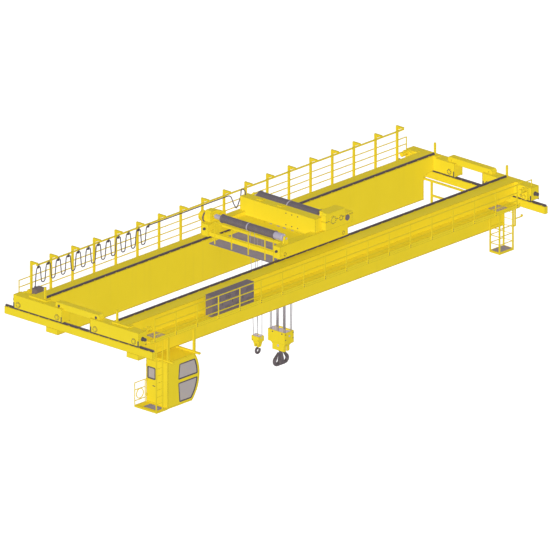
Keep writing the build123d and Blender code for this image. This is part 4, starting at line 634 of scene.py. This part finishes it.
def makeDrum(name, node, centre, radius, half, rim, rimWide, hub, hubRadii, hubEnds, shaftRadius, shaftEnds, pitch,
             groove, band):
    # rope grooves either side of a plain band, between rims; the hubs and the band's sleeve are brighter
    look = {"margin": 0.05, "floorFrom": 0.3, "floorTo": 0.7, "steps": 48, "hubSteps": 40, "hubBevel": 0.03,
            "sleeveHalf": 0.03, "sleeveProud": 0.006}
    crest, floor, steps = radius + rim, radius - groove, look["steps"]
    profile = [(-half, hub), (-half, crest), (-half + rimWide, crest)]
    for low, high in ((-half + look["margin"], -band), (band, half - look["margin"])):
        count = int((high - low) / pitch)
        step = (high - low) / count
        profile.append((low, radius))
        for i in range(count):
            y = low + i * step
            profile += [(y + share * step, floor) for share in (look["floorFrom"], look["floorTo"])]
            profile.append((y + step, radius))
    profile += [(half - rimWide, crest), (half, crest), (half, hub)]
    meshPiece(name + "Shell", lambda work: lathe(work, profile, centre, "y", steps), "grey_paint", node, [node],
              "drum_steel")
    bevel, wide, proud = look["hubBevel"], look["sleeveHalf"], radius + look["sleeveProud"]

    def hubs(work):
        for end, hubEnd, shaftEnd, out in zip((-1, 1), hubEnds, shaftEnds, hubRadii):
            lathe(work, [(end * half, out), (hubEnd - end * bevel, out), (hubEnd, out - bevel),
                         (hubEnd, shaftRadius), (shaftEnd, shaftRadius)], centre, "y", look["hubSteps"])
        lathe(work, [(-wide, radius), (-wide, proud), (wide, proud), (wide, radius)], centre, "y", steps)

    meshPiece(name + "Hubs", hubs, "grey_paint", node, (), "hub_steel")


drums = {
    "main": {"centre": (0.92, 0.0, 1.13), "radius": 0.27, "half": 1.82, "rim": 0.025, "rimWide": 0.03, "hub": 0.14,
             "hubRadii": (0.139, 0.139), "hubEnds": (-1.88, 1.88), "shaftRadius": 0.07, "shaftEnds": (-2.04, 2.21),
             "pitch": 0.04, "groove": 0.011, "band": 0.06},
    "aux": {"centre": (-1.76, 0.0, 0.9), "radius": 0.18, "half": 1.58, "rim": 0.025, "rimWide": 0.03, "hub": 0.165,
            "hubRadii": (0.164, 0.11), "hubEnds": (-2.08, 2.0), "shaftRadius": 0.05, "shaftEnds": (-2.25, 2.12),
            "pitch": 0.03, "groove": 0.008, "band": 0.05},
}
makeDrum("mainDrum", "main_drum", **drums["main"])
makeDrum("auxDrum", "aux_drum", **drums["aux"])
report("drums")


def makeRopes(name, body, node, x, spread, groups, pair, radius, topZ, footZ, drumX, drumZ, drumSide, drumGroups):
    # straight falls between the trolley and the block, and half turns round the block's sheaves
    look = {"turnSteps": 16, "sides": 10}
    arc = [math.pi + math.pi * k / look["turnSteps"] for k in range(look["turnSteps"] + 1)]
    share = (drumZ - topZ) / (drumZ - footZ)
    falls, turns = [], []
    for group in groups:
        for y in (group - pair / 2, group + pair / 2):
            for side in (-1, 1):
                footX = x + side * spread
                if side == drumSide and group in drumGroups:
                    falls.append([(drumX, y, drumZ), (drumX + share * (footX - drumX), y, topZ), (footX, y, footZ)])
                else:
                    falls.append([(footX, y, topZ), (footX, y, footZ)])
            turns.append([(x + spread * math.cos(turn), y, footZ + spread * math.sin(turn)) for turn in arc])

    def tubes(work, lines):
        for line in lines:
            sweepTube(work, [spot(*point) for point in line], radius, look["sides"])

    piece = meshPiece(name, lambda work: tubes(work, falls), "rope_wire", None, [node])
    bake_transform(piece)
    meshPiece(name + "Turns", lambda work: tubes(work, turns), "rope_wire", body)


ropes = {
    "main": {"x": 0.31, "spread": 0.2, "groups": (-0.41, 0.0, 0.41), "pair": 0.08, "radius": 0.018, "topZ": 0.47,
             "footZ": -4.65, "drumX": 0.6317, "drumZ": 1.13, "drumSide": 1, "drumGroups": (-0.41, 0.41)},
    "aux": {"x": -1.19, "spread": 0.13, "groups": (0.0,), "pair": 0.26, "radius": 0.013, "topZ": 0.47,
            "footZ": -4.414, "drumX": -1.5667, "drumZ": 0.9, "drumSide": -1, "drumGroups": (0.0,)},
}
makeRopes("mainFalls", "main_block", "main_ropes", **ropes["main"])
makeRopes("auxFalls", "aux_block", "aux_ropes", **ropes["aux"])
report("ropes")


def outwards(profile, sign, face=0.0):
    # a profile given as (outwards, radius), laid along the axis from a face
    return [(face + sign * out, radius) for out, radius in profile]


def mirrored(pair, sign):
    return sorted(sign * value for value in pair)


def makeBlockFittings():
    # the trunnion's round ends, and the core that shows in the crosshead's grooves
    ends = {"centre": (0.31, 0.0, -5.17), "steps": 24,
            "profile": ((0.18, 0.055), (0.194, 0.055), (0.2, 0.043), (0.2, 0.004))}
    core = {"x": (0.266, 0.354), "y": (0.27, 0.3), "z": (-5.38, -5.16), "edge": 0.008}

    def trunnion(work):
        for sign in (-1, 1):
            lathe(work, outwards(ends["profile"], sign), ends["centre"], "x", ends["steps"])
            boxAt(work, core["x"], mirrored(core["y"], sign), core["z"], core["edge"])

    meshPiece("crossheadTrunnion", trunnion, "grey_paint", "main_block", (), "hub_steel")
    # the collar under the crosshead turns with its hook
    collar = {"centre": (0.31, 0.0, -5.4), "axis": "z",
              "profile": ((-0.004, 0.087), (-0.004, 0.13), (-0.03, 0.13), (-0.045, 0.118), (-0.045, 0.087))}
    meshPiece("mainHookCollar", lambda work: lathe(work, **collar), "hook_steel", "main_hook")


makeBlockFittings()
report("hook fittings")


# the cab's windows and door

cab = {
    "rearX": -10.85, "nearY": -3.5, "farY": -2.22, "frame": 0.05, "margin": 0.095, "rearEdge": -10.13,
    "slant": 0.07, "upper": (-3.155, -2.465), "lower": (-4.22, -3.34), "pane": 0.0155,
    "front": ((-9.1, -2.17), (-8.77, -3.2), (-9.26, -4.37)), "corner": 0.05, "steps": 10,
}


def circleThrough(a, b, c):
    turn = 2 * (a[0] * (b[1] - c[1]) + b[0] * (c[1] - a[1]) + c[0] * (a[1] - b[1]))
    a2, b2, c2 = (p[0] ** 2 + p[1] ** 2 for p in (a, b, c))
    x = (a2 * (b[1] - c[1]) + b2 * (c[1] - a[1]) + c2 * (a[1] - b[1])) / turn
    z = (a2 * (c[0] - b[0]) + b2 * (a[0] - c[0]) + c2 * (b[0] - a[0])) / turn
    return x, z, math.hypot(a[0] - x, a[1] - z)


frontX, frontZ, frontRadius = circleThrough(*cab["front"])


def frontAt(z, inset):
    return frontX + math.sqrt((frontRadius - inset) ** 2 - (z - frontZ) ** 2)


def windowRows(z, grow):
    low, high, steps = z[0] - grow, z[1] + grow, cab["steps"]
    return [low + (high - low) * (k / steps) for k in range(steps + 1)]


def sideWindow(z, rear, grow):
    rows, inset = windowRows(z, grow), cab["frame"] + cab["margin"] - grow
    front = [(frontAt(row, inset), row) for row in rows]
    return [(rear[0] - grow, rows[0])] + front + [(rear[1] - grow, rows[-1])]


def flatWindow(y, z, grow):
    rows = windowRows(z, grow)
    return [(y[1] + grow, row) for row in rows] + [(y[0] - grow, row) for row in reversed(rows)]


def gasket(work, place, window, *where):
    # a rubber seal: a lip on the wall and a wider bead on the pane; the window is a function of where and growth
    seal = {"lip": 0.022, "bead": 0.03, "proud": 0.007, "gap": 0.0006}
    lip, edge, bead = (roundCorners(window(*where, grow), cab["corner"] + grow)
                       for grow in (seal["lip"], -seal["gap"], -seal["bead"]))
    ringPlate(work, lip, edge, place, seal["gap"], seal["proud"])
    ringPlate(work, edge, bead, place, -cab["pane"] + seal["gap"], seal["proud"])


def makeGaskets():
    wide, narrow = cab["rearEdge"], cab["rearEdge"] + cab["slant"]
    sides = [(cab["upper"], (wide, narrow)), (cab["lower"], (narrow, wide))]
    paneY = (cab["nearY"] + cab["margin"], cab["farY"] - cab["margin"])

    def build(work):
        for z, rear in sides:
            for wall, out in ((cab["nearY"], -1), (cab["farY"], 1)):
                gasket(work, lambda a, b, h: spot(a, wall + out * h, b), sideWindow, z, rear)
        for z in (cab["upper"], cab["lower"]):
            gasket(work, lambda a, b, h: spot(frontAt(b, -h), a, b), flatWindow, paneY, z)

    meshPiece("cabGaskets", build, "buffer_rubber", "bridge")
    rearX, pane = cab["rearX"], ((-2.76, -2.316), (-3.16, -2.63))
    meshPiece("doorGasket", lambda work: gasket(work, lambda a, b, h: spot(rearX - h, a, b), flatWindow, *pane),
              "buffer_rubber", "cab_door")
    grip = ((-10.896, -10.866), (-2.778, -2.632), (-3.477, -3.443), 0.01)
    meshPiece("doorGrip", lambda work: boxAt(work, *grip), "buffer_rubber", "cab_door")


makeGaskets()
report("cab windows")


# machinery on the trolley and the carriages

def motorFins(centre, axis, radius, length, count):
    values = {"Count": count, "Radius": radius, "Length": length, "Height": 0.016, "Thickness": 0.005}
    turn = {"x": Matrix.Rotation(math.pi / 2, 4, "Y"), "y": Matrix.Rotation(math.pi / 2, 4, "X")}[axis]
    return grow(finTree, values, "yellow_paint"), Matrix.Translation(spot(*centre)) @ turn


def cowl(work, centre, axis, radius, length):
    # a fan cover: it stands proud of the motor and is rounded at its end
    look = {"proud": 0.022, "wall": 0.03, "shoulder": 0.012, "lip": 0.008, "inset": 0.01, "steps": 36}
    sign = 1 if length > 0 else -1
    profile = [(0.0, radius), (0.0, radius + look["proud"]), (length - sign * look["wall"], radius + look["proud"]),
               (length - sign * look["lip"], radius + look["shoulder"]), (length, radius - look["inset"]),
               (length, look["inset"])]
    lathe(work, profile, centre, axis, look["steps"])


def makeMotors():
    # fins are given by radius, length and number, covers by radius and length, boxes by x, y, z and edge
    drive = {"y": 3.545, "z": -0.27, "finX": 12.21, "fins": (0.095, 0.2, 26), "coverX": 12.0, "cover": (0.095, -0.02),
             "box": ((12.13, 12.27), (3.5, 3.6), (-0.18, -0.12), 0.012)}
    corners = [(sign, side) for sign in (-1, 1) for side in (-1, 1)]
    fins = [motorFins((sign * drive["finX"], side * drive["y"], drive["z"]), "x", *drive["fins"])
            for sign, side in corners]
    joinGrown("driveMotorFins", fins, "yellow_paint", "bridge")

    def driveCowls(work):
        radius, length = drive["cover"]
        x, y, z, edge = drive["box"]
        for sign, side in corners:
            cowl(work, (sign * drive["coverX"], side * drive["y"], drive["z"]), "x", radius, sign * length)
            boxAt(work, mirrored(x, sign), mirrored(y, side), z, edge)

    meshPiece("driveMotorCowls", driveCowls, "yellow_paint", "bridge")
    hoists = {"fins": [((1.74, -1.55, 0.9), "y", 0.16, 0.6, 36), ((-1.85, 2.6, 0.8), "y", 0.23, 0.2, 44)],
              "covers": [((1.74, -1.1, 0.9), "y", 0.16, 0.03), ((-1.85, 2.75, 0.8), "y", 0.205, 0.02)],
              "box": ((1.62, 1.86), (-1.7, -1.45), (1.05, 1.13), 0.02)}
    joinGrown("hoistMotorFins", [motorFins(*row) for row in hoists["fins"]], "yellow_paint", "trolley")

    def hoistCovers(work):
        for row in hoists["covers"]:
            cowl(work, *row)
        boxAt(work, *hoists["box"])

    meshPiece("hoistMotorCovers", hoistCovers, "yellow_paint", "trolley")
    # the brake drum on the gear case, and the coupling between the small motor and its gears
    brakeEdge = ((0.0, 0.135), (0.03, 0.135), (0.036, 0.128), (0.036, 0.09), (0.02, 0.08), (0.02, 0.04),
                 (0.034, 0.034), (0.034, 0.006))
    turned = [
        {"centre": (1.81, 0.0, 1.02), "axis": "y", "steps": 40, "profile": outwards(brakeEdge, -1, -2.59)},
        {"centre": (-1.85, 0.0, 0.8), "axis": "y", "steps": 44,
         "profile": ((2.425, 0.236), (2.425, 0.262), (2.485, 0.262), (2.485, 0.236))},
    ]

    def couplings(work):
        for look in turned:
            lathe(work, **look)

    meshPiece("couplings", couplings, "grey_paint", "trolley", (), "drum_steel")


makeMotors()
report("motors")


def makePins():
    # the dark ends of the tie beams' pins, and a seam round each wheel cover
    tie = {"x": 12.92, "y": (1.11,), "z": -0.11, "steps": 24,
           "profile": ((-0.018, 0.062), (0.004, 0.062), (0.01, 0.052), (0.01, 0.004))}
    cover = {"x": 13.0, "y": (1.14, 3.46), "z": -0.615, "steps": 36,
             "profile": ((0.0, 0.1305), (0.007, 0.1305), (0.007, 0.139), (0.0, 0.139))}
    rings = [(look, sign, side * y) for look in (tie, cover) for sign in (-1, 1) for side in (-1, 1)
             for y in look["y"]]

    def build(work):
        for look, sign, y in rings:
            lathe(work, outwards(look["profile"], sign, sign * look["x"]), (0.0, y, look["z"]), "x", look["steps"])

    meshPiece("pinEnds", build, "dark_steel", "bridge")


makePins()
report("pins")


def makeCabinet():
    # doors with seams, louvres and handles on the near face, a plate on the left face and a lid
    case = {"x": (-7.82, -5.13), "y": (-3.4, -2.99), "top": 0.06}
    (left, right), (near, far), top = case["x"], case["y"], case["top"]
    door = {"count": 4, "gap": 0.012, "thick": 0.01, "z": (-0.85, 0.03), "edge": 0.003, "sideInset": 0.03}
    lid = {"over": 0.012, "thick": 0.018, "edge": 0.004}
    wide = (right - left) / door["count"]
    starts = evenly(left, wide, door["count"])
    face = near - door["thick"]
    doors = [((x + door["gap"], x + wide - door["gap"]), (face, near), door["z"], door["edge"]) for x in starts]
    doors.append(((left - door["thick"], left), (near + door["sideInset"], far - door["sideInset"]), door["z"],
                  door["edge"]))
    doors.append(((left - lid["over"], right + lid["over"]), (near - lid["over"], far + lid["over"]),
                  (top, top + lid["thick"]), lid["edge"]))
    meshPiece("cabinetDoors", lambda work: boxes(work, doors), "grey_paint", "bridge")
    louvre = {"count": 9, "pitch": 0.024, "size": (0.36, 0.012, 0.009), "z": (-0.78, -0.25), "proud": 0.006}
    grown = [boxRow(louvre["count"], (x + wide / 2, face - louvre["proud"], z), (0, 0, louvre["pitch"]),
                    louvre["size"], "grey_paint") for x in starts for z in louvre["z"]]
    joinGrown("cabinetLouvres", grown, "grey_paint", "bridge")
    handle = {"x": (-0.072, -0.048), "depth": 0.02, "z": (-0.5, -0.34), "edge": 0.006}
    handles = [([x + wide + dx for dx in handle["x"]], (face - handle["depth"], face), handle["z"], handle["edge"])
               for x in starts]
    meshPiece("cabinetHandles", lambda work: boxes(work, handles), "buffer_rubber", "bridge")
    # the terminal box has a lid, a left cover and a front cover
    terminal = (
        ((-12.16, -11.69), (3.11, 3.43), (-0.06, -0.042), 0.004),
        ((-12.16, -12.15), (3.15, 3.39), (-0.7, -0.1), 0.003),
        ((-12.12, -11.73), (3.11, 3.12), (-0.7, -0.1), 0.003),
    )
    meshPiece("terminalBoxLid", lambda work: boxes(work, terminal), "grey_paint", "bridge")
    gland = {"centre": (-11.985, 3.375, 0.0), "axis": "z", "steps": 18,
             "profile": ((-0.042, 0.05), (-0.02, 0.05), (-0.015, 0.042), (0.02, 0.038), (0.02, 0.0245))}
    meshPiece("cableGland", lambda work: lathe(work, **gland), "cable_rubber", "bridge")


makeCabinet()
report("cabinets")


# the trailing cable hangs in loops from carriers on its rail

festoon = {
    "diameter": 0.048, "sides": 12, "railZ": 0.94, "railY": 3.375, "saddleX": -11.79, "pitch": 0.65, "loops": 11,
    "cableZ": 0.892, "leadX": 0.71, "leadGap": 0.22,
}


def carryAlong(piece, fromX, toX):
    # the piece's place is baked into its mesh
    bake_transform(piece)


def splinePath(points):
    curve = bpy.data.curves.new("route", "CURVE")
    curve.dimensions = "3D"
    spline = curve.splines.new("NURBS")
    spline.points.add(len(points) - 1)
    for held, point in zip(spline.points, points):
        held.co = (*point, 1.0)
    spline.order_u = 3
    spline.use_endpoint_u = True
    spline.resolution_u = 8
    holder = newObject("route", curve)
    line = bpy.data.meshes.new_from_object(holder)
    path = [vertex.co.copy() for vertex in line.vertices]
    bpy.data.objects.remove(holder)
    bpy.data.curves.remove(curve)
    bpy.data.meshes.remove(line)
    return path


def cablePiece(name, points, body=None, span=None):
    path = splinePath([spot(*point) for point in points])
    piece = meshPiece(name, lambda work: sweepTube(work, path, festoon["diameter"] / 2, festoon["sides"]),
                      "cable_rubber", body, ["festoon_cable"])
    if span:
        carryAlong(piece, *span)
    length = sum((b - a).length for a, b in zip(path, path[1:]))
    return length


def makeFestoonCable():
    y, z, first, pitch, lead = (festoon[key] for key in ("railY", "cableZ", "saddleX", "pitch", "leadX"))
    # half a loop's route, (along, down) from its carrier
    half = [(0.11, 0.0), (0.148, -0.17), (0.185, -0.56), (0.22, -0.8)]
    box = {"x": -11.985, "foot": -0.06, "rise": 0.04, "bendX": -11.9}
    total = cablePiece("cableFromBox", [
        (box["x"], y, box["foot"]), (box["x"], y, box["rise"]), (box["bendX"], y, z), (first, y, z),
    ], body="bridge")
    sag = [(0.0, 0.0)] + half + [(pitch - along, down) for along, down in reversed(half)] + [(pitch, 0.0)]
    for i in range(festoon["loops"]):
        x = first + i * pitch
        total += cablePiece(f"cableLoop{i + 1}", [(x + along, y, z + down) for along, down in sag],
                            span=(x, x + pitch))
    last, end = first + festoon["loops"] * pitch, lead - festoon["leadGap"]
    total += cablePiece("cableAlongRail", [(last, y, z), (end, y, z)], span=(last, end))
    total += cablePiece("cableToTrolley", [
        (end, y, z), (lead, y, z), (0.72, 3.245, 0.578), (0.62, 3.03, 0.47), (0.48, 2.83, 0.45),
        (0.39, 2.64, 0.7), (0.345, 2.42, 1.2), (0.345, 2.42, 1.52), (0.345, 2.15, 1.52), (0.345, 2.15, 1.3),
    ], body="trolley")
    print("trailing cable", round(total, 2), "m")


def makeCarriers():
    # each carrier has a saddle under the cable, two cheeks and rollers beside the rail
    saddle = {"half": 0.06, "thick": 0.05, "steps": 12}
    cheek = {"x": 0.03, "y": 0.032, "thick": 0.006, "down": 0.045, "up": 0.05, "edge": 0.0025}
    roller = {"x": 0.018, "up": 0.028, "steps": 14,
              "profile": ((0.008, 0.004), (0.008, 0.018), (0.022, 0.018), (0.022, 0.004))}
    railZ, y, pitch = festoon["railZ"], festoon["railY"], festoon["pitch"]
    under = festoon["cableZ"] - festoon["diameter"] / 2
    half, steps = saddle["half"], saddle["steps"]
    arc = [math.pi * k / steps for k in range(steps + 1)]

    def carrier(work, x):
        near, far = ([work.verts.new(spot(x + half * math.cos(turn), y + side * saddle["thick"] / 2,
                                          under - half + half * math.sin(turn))) for turn in arc]
                     for side in (-1, 1))
        faces = skin(work, [near, far]) + [work.faces.new(list(reversed(near))), work.faces.new(far)]
        bmesh.ops.recalc_face_normals(work, faces=faces)
        for side in (-1, 1):
            inner = y + side * cheek["y"]
            boxAt(work, (x - cheek["x"], x + cheek["x"]), sorted((inner, inner + side * cheek["thick"])),
                  (under - cheek["down"], railZ + cheek["up"]), cheek["edge"])
            for along in (-roller["x"], roller["x"]):
                lathe(work, outwards(roller["profile"], side, side * cheek["y"]),
                      (x + along, y, railZ + roller["up"]), "y", roller["steps"])

    for i in range(festoon["loops"] + 1):
        x = festoon["saddleX"] + i * pitch
        body = "bridge" if i == 0 else None
        piece = meshPiece(f"carrier{i}", lambda work, x=x: carrier(work, x), "dark_steel", body)
        if body is None:
            carryAlong(piece, x - pitch / 2, x + pitch / 2)


makeFestoonCable()
makeCarriers()
report("trailing cable")


# camera, light and floor

def aimMatrix(position, towards, up):
    back = -Vector(towards).normalized()
    right = Vector(up).cross(back).normalized()
    top = back.cross(right)
    turn = Matrix((right, top, back)).transposed().to_4x4()
    return Matrix.Translation(position) @ turn


def makeCamera():
    # the view's axes were found from the photograph, which has no perspective: 22.71 of its 550 pixels span a metre
    look = {"right": Vector((0.6778, -0.7353, 0.0)), "up": Vector((0.2513, 0.2316, 0.9398)),
            "into": Vector((0.6910, 0.6370, -0.3417)), "slide": -0.048, "lift": -1.722, "back": 60.0,
            "width": 550 / 22.71, "clip": 400}
    data = bpy.data.cameras.new("camera")
    data.type = "ORTHO"
    data.ortho_scale = look["width"]
    data.clip_end = look["clip"]
    camera = newObject("camera", data)
    eye = craneCentre + look["slide"] * look["right"] + look["lift"] * look["up"] - look["back"] * look["into"]
    camera.matrix_world = aimMatrix(eye, look["into"], (0, 0, 1))
    bpy.context.scene.camera = camera


makeCamera()

# the photograph has flat light without shadows, so the suns cast none
suns = [
    {"name": "leftSun", "strength": 2.5, "towards": (0.98, 0.05, -0.1), "angle": 30},
    {"name": "frontSun", "strength": 1.8, "towards": (0.05, 0.98, -0.1), "angle": 30},
    {"name": "topSun", "strength": 0.85, "towards": (0.05, 0.05, -1.0), "angle": 30},
    {"name": "rightFill", "strength": 0.9, "towards": (-0.98, -0.1, -0.1), "angle": 60},
    {"name": "rearFill", "strength": 0.7, "towards": (-0.1, -0.98, -0.1), "angle": 60},
]
lampPlace = {"at": Vector((0, 0, 20)), "up": (0.3, 0.2, 1)}
for sun in suns:
    light = bpy.data.lights.new(sun["name"], "SUN")
    light.energy = sun["strength"]
    light.angle = math.radians(sun["angle"])
    light.use_shadow = False
    lamp = newObject(sun["name"], light)
    lamp.matrix_world = aimMatrix(lampPlace["at"], sun["towards"], lampPlace["up"])

world = bpy.data.worlds.new("studio")
world.use_nodes = True
background = world.node_tree.nodes["Background"].inputs
background["Color"].default_value = (1.0, 1.0, 1.0, 1.0)
background["Strength"].default_value = 0.3
bpy.context.scene.world = world
bpy.context.scene.view_settings.view_transform = "Standard"


def makeFloor():
    # the floor glows a little, to look white, and bounces no light onto the crane
    look = {"half": 260.0, "z": -12.5}
    corners = [(x * look["half"], y * look["half"], look["z"]) for x, y in ((-1, -1), (1, -1), (1, 1), (-1, 1))]
    mesh = buildMesh("floor", lambda work: work.faces.new([work.verts.new(spot(*corner)) for corner in corners]))
    mesh.materials.append(newMaterial("floor", {
        "Base Color": (0.95, 0.95, 0.95, 1.0), "Roughness": 0.9, "Emission Color": (1.0, 1.0, 1.0, 1.0),
        "Emission Strength": 0.35})[0])
    floor = newObject("floor", mesh)
    floor.visible_diffuse = False


makeFloor()
report("camera, light and floor")
